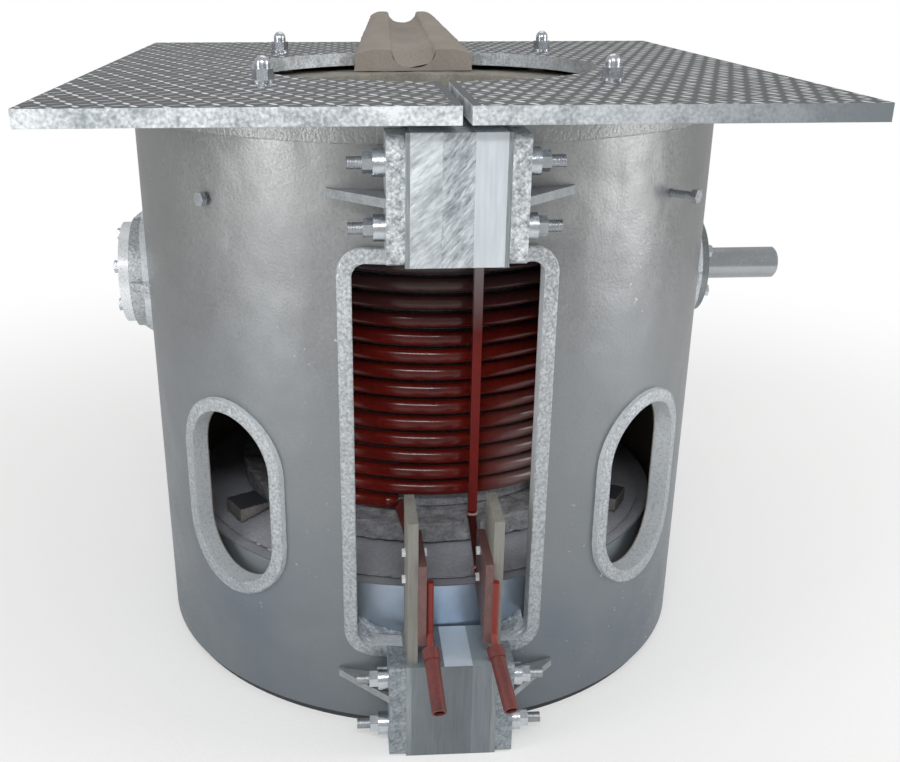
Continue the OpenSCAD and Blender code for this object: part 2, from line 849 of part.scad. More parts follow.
module platform_left() {
    platform_plate(-platform_w / 2, platform_gap_x - platform_gap / 2);
}

module platform_right() {
    platform_plate(platform_gap_x + platform_gap / 2, platform_w / 2);
}

// Puts its children at each platform stud
module at_platform_studs() {
    for (x = [-1, 1], y = [-1, 1]) translate([x * post_x, y * post_y, 0]) children();
}

platform_stud_low = shell_z1 - cap_nut_h - washer_t;
platform_stud_high = platform_z1 + washer_t + cap_nut_h;

module platform_studs() {
    color("slategray") at_platform_studs() translate([0, 0, platform_stud_low])
        cylinder(h = platform_stud_high - platform_stud_low, d = post_d);
}

module platform_washers() {
    color("gainsboro") at_platform_studs()
        ring(washer_d / 2, post_d / 2 + thread_gap, platform_z1, washer_t);
}

module platform_cap_nuts() {
    dome_r = cap_dome_d / 2;
    color("gainsboro") at_platform_studs() translate([0, 0, platform_z1 + washer_t]) difference() {
        union() {
            cylinder(h = cap_nut_h, d = cap_nut_d, $fn = 6);
            cylinder(h = cap_nut_h + cap_dome_h - dome_r, r = dome_r);
            translate([0, 0, cap_nut_h + cap_dome_h - dome_r]) sphere(r = dome_r);
        }
        translate([0, 0, -over]) cylinder(h = cap_nut_h + 2 * over, d = post_d + 2 * thread_gap);
    }
}

module platform_lock_nuts() {
    color("gainsboro") at_platform_studs() translate([0, 0, shell_z1 - cap_nut_h]) difference() {
        cylinder(h = cap_nut_h, d = cap_nut_d, $fn = 6);
        translate([0, 0, -over]) cylinder(h = cap_nut_h + 2 * over, d = post_d + 2 * thread_gap);
    }
}

// Stub axle that the stand holds, with its thrust collar behind the cover
module stub_axle() {
    color("dimgray") translate([0, 0, axis_z]) {
        x_rod(bearing_x0, journal_end_x - bearing_x0, journal_d / 2);
        x_rod(journal_end_x - over, axle_end_x - axle_chamfer - journal_end_x + over, axle_d / 2);
        x_rod(collar_room_x + seat_gap, collar_t, collar_d / 2);
        translate([axle_end_x - axle_chamfer, 0, 0]) rotate([0, 90, 0])
            cylinder(h = axle_chamfer, r1 = axle_d / 2, r2 = axle_d / 2 - axle_chamfer);
    }
}

// Cast sleeve in the right boss that holds the bush and leaves room for the collar
module axle_housing() {
    color("silver") translate([0, 0, axis_z]) difference() {
        x_rod(bearing_x0, right_face_x - bearing_x0, sleeve_r);
        x_rod(bearing_x0 - over, shell_r, bearing_r + thread_gap);
        x_rod(collar_room_x, shell_r, collar_d / 2 + hole_gap);
    }
}

module axle_bush() {
    color("peru") translate([0, 0, axis_z]) difference() {
        x_rod(bearing_x0, bearing_l, bearing_r);
        x_rod(bearing_x0 - over, bearing_l + 2 * over, journal_d / 2 + axle_clearance);
    }
}

module axle_cover() {
    color("silver") translate([0, 0, axis_z]) difference() {
        x_rod(right_face_x, cover_t, cover_d / 2);
        x_rod(right_face_x - over, cover_t + 2 * over, journal_d / 2 + hole_gap);
        at_ring_bolts(cover_bolt_turn)
            x_rod(right_face_x - over, cover_t + 2 * over, ring_bolt_d / 2 + hole_gap);
    }
}

// A ring of hexagon bolts whose heads sit on face_x and whose shanks enter the boss
module bolt_ring(face_x, boss_x, turn) {
    at_ring_bolts(turn) {
        x_hex(face_x, ring_head_t, ring_head_d);
        x_rod(boss_x - ring_bolt_depth + over, face_x - boss_x + ring_bolt_depth - over, ring_bolt_d / 2);
    }
}

module axle_cover_bolts() {
    color("gainsboro") translate([0, 0, axis_z]) bolt_ring(cover_face_x, right_face_x, cover_bolt_turn);
}

// Machined flange that takes the tilting gearbox's shaft
module drive_flange() {
    color("silver") translate([0, 0, axis_z]) mirror([1, 0, 0]) difference() {
        x_rod(left_face_x, flange_t, flange_d / 2);
        x_rod(left_face_x - over, flange_t + 2 * over, drive_bore_d / 2);
        at_ring_bolts(flange_bolt_turn)
            x_rod(left_face_x - over, flange_t + 2 * over, ring_bolt_d / 2 + hole_gap);
    }
}

module drive_flange_bolts() {
    color("gainsboro") translate([0, 0, axis_z]) mirror([1, 0, 0])
        bolt_ring(flange_face_x, left_face_x, flange_bolt_turn);
}

module base_drum() {
    color("lightsteelblue") ring(drum_r, drum_r - drum_t, base_t, drum_top - base_t);
}

module base_refractory() {
    color("dimgray") translate([0, 0, base_t])
        cylinder(h = drum_top - base_t, r = drum_r - drum_t - seat_gap);
}

// Smooth cement that slopes up from the drum to the coil seat
module cement_shoulder() {
    color("gray") rotate_extrude() polygon([
        [lining_r + seat_gap, drum_top], [drum_r, drum_top],
        [shoulder_r, shoulder_top], [lining_r + seat_gap, shoulder_top]
    ]);
}

module coil_seat() {
    color("gray") difference() {
        ring(seat_r, lining_r + seat_gap, shoulder_top, seat_h);
        box([rail_x - lead_notch / 2, -seat_r - over, seat_top - lead_notch],
            [rail_x + lead_notch / 2, -rail_y + rail_t / 2 + seat_gap, seat_top + over]);
    }
}

floor_block_angles = [-125, -60, 60, 125];

// Bricks laid on the shoulder beside the coil seat
module floor_blocks() {
    color("dimgray") difference() {
        for (angle = floor_block_angles) rotate([0, 0, angle]) box(
            [-floor_block_w / 2, -seat_r - seat_gap - floor_block_l, drum_top],
            [floor_block_w / 2, -seat_r - seat_gap, drum_top + floor_block_h]);
        rotate_extrude() polygon([
            [0, drum_top - over], [drum_r + over, drum_top - over],
            [drum_r + seat_gap, drum_top + seat_gap],
            [shoulder_r + seat_gap, shoulder_top + seat_gap], [0, shoulder_top + seat_gap]
        ]);
        translate([0, 0, drum_top]) cylinder(h = floor_block_h + over, r = seat_r + seat_gap);
    }
}

// Rammed refractory crucible with a slightly tapered bore and a round floor corner
module crucible_lining() {
    floor_z = drum_top + crucible_floor_t;
    floor_r = lining_r - lining_foot_wall;
    color("darkgray") rotate_extrude() difference() {
        translate([0, drum_top]) square([lining_r, mouth_z0 - drum_top]);
        polygon([
            [0, floor_z], [floor_r - crucible_corner, floor_z],
            for (a = [0 : 15 : 90]) [
                floor_r - crucible_corner + crucible_corner * sin(a),
                floor_z + crucible_corner - crucible_corner * cos(a)
            ],
            [crucible_r, mouth_z0 + over], [0, mouth_z0 + over]
        ]);
    }
}

module coil_cement() {
    color("gray") ring(cement_r, lining_r + seat_gap, seat_top, mouth_z0 - seat_top);
}

module mouth_ring() {
    color("tan") ring(mouth_out_r, mouth_in_r, mouth_z0, mouth_z1 - mouth_z0);
}

// A tapered plan outline of the spout or its groove
module spout_plan(w, tip_w, y0, y1) {
    polygon([[-w / 2, y0], [w / 2, y0], [tip_w / 2, y1], [-tip_w / 2, y1]]);
}

// A side outline, drawn in Y and Z, made as wide as the spout
module spout_side(points) {
    rotate([90, 0, 90]) linear_extrude(height = spout_w, center = true) polygon(points);
}

module pouring_spout() {
    lean = (groove_w - groove_tip_w) / (spout_end - spout_start);
    floor_z = spout_z0 + groove_floor_t;
    rest_y = platform_hole_d / 2;
    rest_z = platform_z1 + groove_floor_t;
    lift = (rest_z - floor_z) / (rest_y - spout_start);
    rise = (spout_tip_z - groove_tip_depth - rest_z) / (spout_end - rest_y);
    color("rosybrown") difference() {
        intersection() {
            translate([0, 0, spout_z0]) linear_extrude(height = spout_tip_z - spout_z0)
                spout_plan(spout_w, spout_tip_w, spout_start, spout_end);
            spout_side([
                [spout_start, spout_z0], [spout_start, spout_z1], [spout_end, spout_tip_z],
                [spout_end, platform_z1], [rest_y, platform_z1], [rest_y, spout_z0]
            ]);
        }
        difference() {
            translate([0, 0, spout_z0 - over]) cylinder(h = platform_z1 - spout_z0 + over, r = spout_end);
            translate([0, 0, spout_z0 - 2 * over])
                cylinder(h = platform_z1 - spout_z0 + 4 * over, r = rest_y - seat_gap);
        }
        intersection() {
            translate([0, 0, spout_z0]) linear_extrude(height = spout_tip_z) spout_plan(
                groove_w + 2 * lean * over, groove_tip_w - 2 * lean * over,
                spout_start - over, spout_end + over);
            spout_side([
                [spout_start - over, floor_z - lift * over],
                [rest_y, rest_z],
                [spout_end + over, spout_tip_z - groove_tip_depth + rise * over],
                [spout_end + over, 2 * spout_tip_z], [spout_start - over, 2 * spout_tip_z]
            ]);
        }
    }
}

// Corners of the coil's tube in radius and height: square inside, bevelled outside
coil_section = [
    [coil_r - coil_tube_w, -coil_tube_h / 2], [coil_r - coil_bevel, -coil_tube_h / 2],
    [coil_r, -coil_tube_h / 2 + coil_bevel], [coil_r, coil_tube_h / 2 - coil_bevel],
    [coil_r - coil_bevel, coil_tube_h / 2], [coil_r - coil_tube_w, coil_tube_h / 2]
];
coil_sides = len(coil_section);
coil_last = round(coil_loops * coil_rings);

function coil_point(ring_no, side_no) =
    let (loops = coil_loops * ring_no / coil_last, corner = coil_section[side_no])
    xyz(corner[0], coil_low_angle - 360 * loops, coil_z0 + coil_pitch * loops + corner[1]);

coil_points = [for (i = [0 : coil_last], j = [0 : coil_sides - 1]) coil_point(i, j)];

function coil_wall(i, j) = let (a = i * coil_sides + j, b = i * coil_sides + (j + 1) % coil_sides)
    [[a, b, b + coil_sides], [a, b + coil_sides, a + coil_sides]];

coil_faces = concat(
    [for (i = [0 : coil_last - 1], j = [0 : coil_sides - 1]) each coil_wall(i, j)],
    [for (j = [1 : coil_sides - 2]) [0, j + 1, j]],
    [for (j = [1 : coil_sides - 2]) let (a = coil_last * coil_sides) [a, a + j, a + j + 1]]
);

// The least distance from a ring's corners to those of the rings one turn above it
coil_least_gap = min([for (i = [0 : coil_last - coil_rings - 1], j = [0 : coil_sides - 1], m = [-1 : 1],
    n = [0 : coil_sides - 1]) norm(coil_point(i, j) - coil_point(i + coil_rings + m, n))]);
echo(coil_least_gap = coil_least_gap);  // induction_coil

// One unbroken water-cooled tube wound upward from its lower end
module induction_coil() {
    color("darkred") polyhedron(points = coil_points, faces = coil_faces, convexity = 10);
}

module coil_posts() {
    color("sienna") for (side = [-1, 1], back = [0, 1]) rotate([0, 0, side_bolt_turn(side, back)]) box(
        [-coil_post_w / 2, -coil_post_r - coil_post_t, seat_top],
        [coil_post_w / 2, -coil_post_r, mouth_z0 - seat_gap]);
}

// A bolt through the shell wall against a coil post
module side_bolt(side, back, proud) {
    inner = coil_post_r + coil_post_t;
    shank = shell_r + proud - ring_head_t - inner;
    color("gainsboro") rotate([0, 0, side_bolt_turn(side, back)]) translate([0, -inner, side_bolt_z])
        rotate([90, 0, 0]) {
            cylinder(h = shank, d = side_bolt_d);
            translate([0, 0, shank]) cylinder(h = ring_head_t, d = ring_head_d, $fn = 6);
        }
}

module side_bolts() {
    for (back = [0, 1]) {
        side_bolt(-1, back, side_bolt_short);
        side_bolt(1, back, side_bolt_long);
    }
}

// Angle between the coil's end face and the middle of its lead tube
lead_step = asin((lead_d / 2 + seat_gap) / (coil_r - coil_tube_w / 2));
// Size of the brazed elbows over the tubes that they join
elbow_share = 1.12;

bar_left_x = board_left_x + board_t / 2 + bar_t / 2;
bar_right_x = board_right_x - board_t / 2 - bar_t / 2;
bar_y0 = board_y0 - bar_past;
bar_y1 = board_y1 + bar_past;
// Distance of the leads' lower ends from the middle, just behind the bars
bar_y1_reach = -bar_y1 - seat_gap;
bar_lead_z = board_z0 + bar_top - bar_back_h + bar_lead_rise;

// Start of a lead at the coil's end and its first bend outside the coil
function lead_start(angle, z) = xyz(coil_r - coil_tube_w / 2, angle, z);
function lead_out(angle, z) = xyz(coil_r + lead_d, angle, z);

// Lead from the coil's top turn to the upright rail in front of the coil
module upper_lead() {
    angle = coil_high_angle - lead_step;
    color("darkred") {
        bent_rod([
            lead_start(angle, coil_z1), lead_out(angle, coil_z1), [rail_x, -rail_y, coil_z1]
        ], lead_d / 2);
        box([rail_x - rail_w / 2, -rail_y - rail_t / 2, rail_z],
            [rail_x + rail_w / 2, -rail_y + rail_t / 2, coil_z1 + lead_d / 2 + seat_gap]);
    }
}

lower_lead_bend = [board_left_x, -seat_r - lead_d, coil_z0 - lead_d / 4];

// Lead from the coil's bottom turn to the back edge of the left terminal bar
module lower_lead() {
    angle = coil_low_angle + lead_step;
    color("darkred") bent_rod([
        lead_start(angle, coil_z0), lead_out(angle, coil_z0), lower_lead_bend,
        [bar_left_x, -bar_y1_reach, bar_lead_z]
    ], lead_d / 2);
}

// A flat bar standing against a terminal board, with its lower edge falling to the front
module terminal_bar(x) {
    top_z = board_z0 + bar_top;
    difference() {
        translate([x, 0, 0]) rotate([90, 0, 90]) linear_extrude(height = bar_t, center = true) polygon([
            [bar_y1, top_z], [bar_y1, top_z - bar_back_h], [bar_y0, top_z - bar_front_h], [bar_y0, top_z]
        ]);
        for (z = board_bolt_zs) translate([0, board_bolt_y, z])
            x_rod(x - bar_t / 2 - over, bar_t + 2 * over, board_bolt_d / 2 + hole_gap);
        translate([x, bar_y1 + seat_gap, bar_lead_z]) sphere(d = lead_d + 2 * seat_gap, $fn = 48);
    }
}

// A water tube down a bar's front edge, with an elbow to the hose tail below it
module water_tube(x, y, tail) {
    bent_rod([[x, y, board_z0 + tube_top], [x, y, tail[2] + tail_elbow], tail], tube_d / 2);
}

tail_left = [bar_left_x + bar_t / 2 + tube_d / 2, -clamp_front - tail_ahead, board_z0 + tail_rise];
tail_right = [board_right_x - bar_past / 2, -clamp_front - tail_ahead, board_z0 + tail_rise];

module terminal_bar_left() {
    color("firebrick") {
        terminal_bar(bar_left_x);
        water_tube(tail_left[0], board_y0, tail_left);
    }
}

module terminal_bar_right() {
    color("firebrick") {
        terminal_bar(bar_right_x);
        water_tube(tail_right[0], board_y0 - tube_d / 2 * elbow_share - seat_gap, tail_right);
    }
}

// Lead from the foot of the rail to the back edge of the right terminal bar
module rail_foot_lead() {
    color("darkred") bent_rod([
        [rail_x, -rail_y, rail_z - seat_gap], [rail_x, -rail_y, rail_z - lead_d],
        [bar_right_x, -bar_y1_reach, bar_lead_z]
    ], lead_d / 2);
}

// An open hose tail with a collar at its upper end
module hose_tail(start, lean) {
    run = [lean, -tail_forward, -tail_fall];
    color("firebrick") translate(start) rotate([0, acos(run[2] / norm(run)), atan2(run[1], run[0])])
        difference() {
            union() {
                cylinder(h = norm(run), d = tail_d);
                cylinder(h = tail_collar_l, d = tail_collar_d);
            }
            translate([0, 0, tail_collar_l]) cylinder(h = norm(run), r = tail_d / 2 - tail_wall);
            sphere(d = tube_d + 2 * seat_gap, $fn = 48);
        }
}

module hose_tail_left() {
    hose_tail(tail_left, left_tail_lean);
}

module hose_tail_right() {
    hose_tail(tail_right, right_tail_lean);
}

// An insulating board on the lower clamp, drilled for its two bolts
module terminal_board(x) {
    color("darkkhaki") difference() {
        box([x - board_t / 2, board_y0, board_z0], [x + board_t / 2, board_y1, board_z0 + board_h]);
        for (z = board_bolt_zs) translate([0, board_bolt_y, z])
            x_rod(x - board_t / 2 - over, board_t + 2 * over, board_bolt_d / 2 + hole_gap);
    }
}

module terminal_board_left() {
    terminal_board(board_left_x);
}

module terminal_board_right() {
    terminal_board(board_right_x);
}

// Bolts through one board and its bar, with X toward the bar
module board_bolts() {
    for (z = board_bolt_zs) translate([0, board_bolt_y, z]) {
        x_rod(-board_t / 2, board_t + bar_t, board_bolt_d / 2);
        x_hex(board_t / 2 + bar_t, board_head_t, board_head_d);
        x_hex(-board_t / 2 - board_head_t, board_head_t, board_head_d);
    }
}

module terminal_bolts() {
    color("gainsboro") {
        translate([board_left_x, 0, 0]) board_bolts();
        translate([board_right_x, 0, 0]) mirror([1, 0, 0]) board_bolts();
    }
}

shell_lower_left();
shell_lower_right();
shell_upper_left();
shell_upper_right();
shell_back();
top_rim();
floor_plate();
upper_ear_left();
upper_ear_right();
lower_ear_left();
lower_ear_right();
ear_fins();
upper_clamp_strips();
upper_clamp_block_left();
upper_clamp_block_middle();
upper_clamp_block_right();
lower_clamp_strips();
lower_clamp_block_left();
lower_clamp_block_middle();
lower_clamp_block_right();
clamp_studs();
clamp_bushes();
clamp_nuts();
platform_left();
platform_right();
platform_studs();
platform_washers();
platform_cap_nuts();
platform_lock_nuts();
stub_axle();
axle_housing();
axle_bush();
axle_cover();
axle_cover_bolts();
drive_flange();
drive_flange_bolts();
base_drum();
base_refractory();
cement_shoulder();
coil_seat();
floor_blocks();
crucible_lining();
coil_cement();
mouth_ring();
pouring_spout();
induction_coil();
coil_posts();
side_bolts();
upper_lead();
lower_lead();
rail_foot_lead();
terminal_bar_left();
terminal_bar_right();
hose_tail_left();
hose_tail_right();
terminal_board_left();
terminal_board_right();
terminal_bolts();
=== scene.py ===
"""Dresses the tilting induction furnace: finishes, rough cement, cast spout, wound coil, studio and camera.

Everything is in metres in the furnace's own frame: the base's centre is the origin, the window faces -Y,
the spout points along +Y and the stub axle along +X.
"""

from __future__ import annotations

import json
import logging
import math
from dataclasses import dataclass, replace
from enum import Enum
from typing import Any

import bmesh
import bpy
from mathutils import Euler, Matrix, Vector, noise

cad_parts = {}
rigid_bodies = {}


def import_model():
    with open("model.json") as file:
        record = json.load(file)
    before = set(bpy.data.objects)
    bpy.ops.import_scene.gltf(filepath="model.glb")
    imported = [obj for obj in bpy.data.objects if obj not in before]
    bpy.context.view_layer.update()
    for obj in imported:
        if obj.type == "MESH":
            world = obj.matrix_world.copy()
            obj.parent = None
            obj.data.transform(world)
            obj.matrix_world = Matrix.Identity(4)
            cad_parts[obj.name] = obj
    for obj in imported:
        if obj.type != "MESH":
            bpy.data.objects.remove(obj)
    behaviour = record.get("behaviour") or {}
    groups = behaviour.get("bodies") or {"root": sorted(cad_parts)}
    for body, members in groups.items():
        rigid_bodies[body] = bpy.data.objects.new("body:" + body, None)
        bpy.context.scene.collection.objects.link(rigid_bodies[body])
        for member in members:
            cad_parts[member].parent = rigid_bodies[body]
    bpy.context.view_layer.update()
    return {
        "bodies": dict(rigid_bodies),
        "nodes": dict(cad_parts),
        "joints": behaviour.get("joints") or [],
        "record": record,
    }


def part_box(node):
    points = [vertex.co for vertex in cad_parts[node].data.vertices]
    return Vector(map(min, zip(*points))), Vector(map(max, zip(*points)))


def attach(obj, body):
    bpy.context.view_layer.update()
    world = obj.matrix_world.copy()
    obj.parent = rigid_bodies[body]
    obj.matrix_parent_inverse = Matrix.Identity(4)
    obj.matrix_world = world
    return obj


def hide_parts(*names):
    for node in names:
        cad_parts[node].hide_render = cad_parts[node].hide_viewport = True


LOG = logging.getLogger("furnace")
MM = 0.001
FURNACE = "furnace"
Tree = bpy.types.NodeTree
Known = dict[Any, Any]
Pair = tuple[float, float]
Triple = tuple[float, float, float]
# How many finer layers of noise lie in the coarse and in the fine pattern.
COARSE_LAYERS, FINE_LAYERS = 2.5, 3.0
# Where the sum of both patterns starts and stops to change the roughness.
BOTH_RANGE = (0.75, 1.25)
# How far up a face looks where the change to the colour of tops starts, and where it is complete.
LOOKS_UP = (0.8, 0.95)
# What is left of the metallic share where dust or thick paint hides the metal.
DUSTY_METAL = 0.1
# Share of a square's diagonal that its side is.
DIAGONAL = 0.7071


def make_piece(name: str, shape: bmesh.types.BMesh) -> bpy.types.Object:
    """Makes a smooth object from a finished shape, puts it in the scene and reports it.

    Args:
        name: the name of the object and of its mesh.
        shape: its points and faces, freed here.

    Returns:
        The new object.
    """
    mesh = bpy.data.meshes.new(name)
    shape.to_mesh(mesh)
    shape.free()
    for face in mesh.polygons:
        face.use_smooth = True
    piece = bpy.data.objects.new(name, mesh)
    bpy.context.scene.collection.objects.link(piece)
    LOG.info("%s: %d faces", name, len(mesh.polygons))
    return piece


def lay_skin(shape: bmesh.types.BMesh, rings: list[list[bmesh.types.BMVert]]) -> None:
    """Lays four-sided faces between each closed ring of points and the next.

    Args:
        shape: the shape that gets them.
        rings: rings of equally many points, in order.
    """
    for near, far in zip(rings, rings[1:]):
        for here in range(len(near)):
            there = (here + 1) % len(near)
            shape.faces.new((near[here], near[there], far[there], far[here]))


def srgb(colour: str) -> tuple[float, ...]:
    """Turns an sRGB hex colour into a linear one.

    Args:
        colour: the colour as "#RRGGBB".

    Returns:
        Linear red, green and blue, and an alpha of 1.
    """
    parts = [int(colour[i : i + 2], 16) / 255 for i in (1, 3, 5)]
    linear = [c / 12.92 if c <= 0.04045 else ((c + 0.055) / 1.055) ** 2.4 for c in parts]
    return (linear[0], linear[1], linear[2], 1.0)


def add_node(tree: Tree, kind: str, inputs: dict[Any, Any] | None = None, **settings: Any) -> Any:
    """Adds one node, sets it up and links it.

    Args:
        tree: the node tree that it goes into.
        kind: the node's type name without the "ShaderNode" in front.
        inputs: socket name or index to a value, or to the socket that feeds it.
        **settings: the node's own settings.

    Returns:
        The new node.
    """
    node = tree.nodes.new("ShaderNode" + kind)
    for key, value in settings.items():
        setattr(node, key, value)
    for key, value in (inputs or {}).items():
        if isinstance(value, bpy.types.NodeSocket):
            tree.links.new(value, node.inputs[key])
        else:
            node.inputs[key].default_value = value
    return node


def add_chain(tree: Tree, known: Known, rows: tuple[tuple[Any, ...], ...]) -> Any:
    """Adds a run of nodes whose rows name what feeds them.

    Args:
        tree: the node tree.
        known: sockets by name, which each row's result joins.
        rows: each a name for its result, "MapRange" or the operation of a sum, and its values or their names.

    Returns:
        The last row's socket.
    """
    for result, kind, *values in rows:
        fed = {index: known.get(value, value) for index, value in enumerate(values)}
        ranged = kind == "MapRange"
        node = add_node(tree, kind, fed) if ranged else add_node(tree, "Math", fed, operation=kind)
        known[result] = node.outputs[0]
    return known[rows[-1][0]]


class Grain(Enum):
    """Which way the marks of a tool run on a surface."""

    NONE = (1.0, 1.0, 1.0)
    SHORT_X = (4.0, 1.0, 1.0)
    ALONG_Z = (1.0, 1.0, 12.0)


@dataclass(frozen=True)
class Finish:
    """A finish whose colour, roughness and relief come from a coarse and a fine pattern.

    Attributes:
        name: the real material and how its surface was made.
        light: colour of the lightest patches.
        dark: colour of the darkest patches.
        metallic: 0 for a mineral, plastic or varnish, up to 1 for bare metal.
        rough: lowest and highest roughness.
        patch_mm: size of the coarse patches.
        grit_mm: size of the fine grain.
        relief_mm: height of the fine grain.
        wave_mm: height of the coarse waves.
        contrast: how sharply the patches part, from 0 to 1.
        grain: which way the marks run.
        tilt_deg: turn of the marks about X, Y and Z.
        ior: refractive index, where it is not a metal.
        top: colour of the faces that look up, where it differs.
        bevel_mm: radius of the soft edges that the light sees, 0 where they are crisp.
    """

    name: str
    light: str
    dark: str
    metallic: float = 0.0
    rough: Pair = (0.5, 0.7)
    patch_mm: float = 60.0
    grit_mm: float = 3.0
    relief_mm: float = 0.3
    wave_mm: float = 0.0
    contrast: float = 0.4
    grain: Grain = Grain.NONE
    tilt_deg: Triple = (0.0, 0.0, 0.0)
    ior: float = 1.5
    top: str = ""
    bevel_mm: float = 0.0

    def build(self) -> bpy.types.Material:
        """Makes the material.

        Returns:
            The new material, with its shader linked to its output.
        """
        material = bpy.data.materials.new(self.name)
        material.use_nodes = True
        tree = material.node_tree
        tree.nodes.clear()
        known = self.survey(tree)
        colour, height = self.paint(tree, known)
        if self.top:
            level = add_chain(tree, known, (("level", "MapRange", "up", *LOOKS_UP),))
            colour = self.blend(tree, level, colour, self.top)
        rows = (("both", "ADD", "coarse", "fine"), ("rough", "MapRange", "both", *BOTH_RANGE, *self.rough))
        rough = add_chain(tree, known, rows)
        swell = {"Height": known["coarse"], "Distance": self.wave_mm * MM, "Strength": 1.0}
        wave = add_node(tree, "Bump", swell)
        if self.bevel_mm:
            tree.links.new(self.soften(tree, known), wave.inputs["Normal"])
        relief = {"Height": height, "Distance": self.relief_mm * MM, "Normal": wave.outputs[0]}
        grit = add_node(tree, "Bump", relief).outputs[0]
        shader = add_node(tree, "BsdfPrincipled", {
            "Base Color": colour, "Metallic": self.metallic, "Roughness": rough, "IOR": self.ior,
            "Normal": grit,
        })
        matt = self.matt(tree, known)
        if matt:
            metal = add_node(tree, "MapRange", {0: matt, 3: self.metallic, 4: DUSTY_METAL}).outputs[0]
            tree.links.new(metal, shader.inputs["Metallic"])
        add_node(tree, "OutputMaterial", {"Surface": shader.outputs[0]})
        return material

    def survey(self, tree: Tree) -> Known:
        """Adds what the colours and masks are drawn from, in the furnace's own frame, which tilts with it.

        Args:
            tree: the node tree.

        Returns:
            Sockets by name: the place, its x, y and z, the face's normal, its upward part, both patterns.
        """
        place = add_node(tree, "TexCoord").outputs["Object"]
        tilt = [math.radians(angle) for angle in self.tilt_deg]
        turn = {"Vector": place, "Rotation": tilt, "Scale": self.grain.value}
        turned = add_node(tree, "Mapping", turn, vector_type="TEXTURE").outputs[0]
        facing = add_node(
            tree, "VectorTransform", {0: add_node(tree, "NewGeometry").outputs["True Normal"]},
            vector_type="NORMAL", convert_from="WORLD", convert_to="OBJECT",
        ).outputs[0]
        up = add_node(tree, "SeparateXYZ", {0: facing}).outputs[2]
        known = {"place": place, "facing": facing, "up": up}
        known.update(zip("xyz", add_node(tree, "SeparateXYZ", {0: place}).outputs))
        known["coarse"] = self.pattern(tree, turned, self.patch_mm, COARSE_LAYERS)
        known["fine"] = self.pattern(tree, turned, self.grit_mm, FINE_LAYERS)
        return known

    def matt(self, tree: Tree, known: Known) -> Any:
        """Finds where dust or thick paint hides the metal.

        Args:
            tree: the node tree.
            known: sockets by name.

        Returns:
            The socket that is 1 there, or None where nothing hides it.
        """
        return None

    def soften(self, tree: Tree, known: Known) -> Any:
        """Adds the normal of softened edges.

        Args:
            tree: the node tree.
            known: sockets by name.

        Returns:
            The normal's socket.
        """
        return add_node(tree, "Bevel", {"Radius": self.bevel_mm * MM}, samples=3).outputs[0]

    def pattern(self, tree: Tree, vector: Any, size_mm: float, detail: float) -> Any:
        """Adds a noise whose spots are about size_mm across.

        Args:
            tree: the node tree.
            vector: the place that it is read at.
            size_mm: the spots' size.
            detail: how many finer layers lie in it.

        Returns:
            The socket with its height, from 0 to 1.
        """
        values = {"Vector": vector, "Scale": 0.5 / (size_mm * MM), "Detail": detail, "Roughness": 0.55}
        return add_node(tree, "TexNoise", values).outputs["Fac"]

    def blend(self, tree: Tree, factor: Any, low: Any, high: Any) -> Any:
        """Mixes two colours.

        Args:
            tree: the node tree.
            factor: the socket that says how much of the second there is.
            low: the first, as a hex colour or a socket.
            high: the second, likewise.

        Returns:
            The mixed colour's socket.
        """
        low, high = (srgb(colour) if isinstance(colour, str) else colour for colour in (low, high))
        return add_node(tree, "Mix", {0: factor, 6: low, 7: high}, data_type="RGBA").outputs[2]

    def paint(self, tree: Tree, known: Known) -> tuple[Any, Any]:
        """Mixes the colour, and gives the height of the fine relief.

        Args:
            tree: the node tree.
            known: sockets by name.

        Returns:
            The colour socket and the height socket.
        """
        half = 0.45 * (1.0 - self.contrast) + 0.03
        rows = (("both", "ADD", "coarse", "fine"), ("spread", "MapRange", "both", 1.0 - half, 1.0 + half))
        return self.blend(tree, add_chain(tree, known, rows), self.dark, self.light), known["fine"]


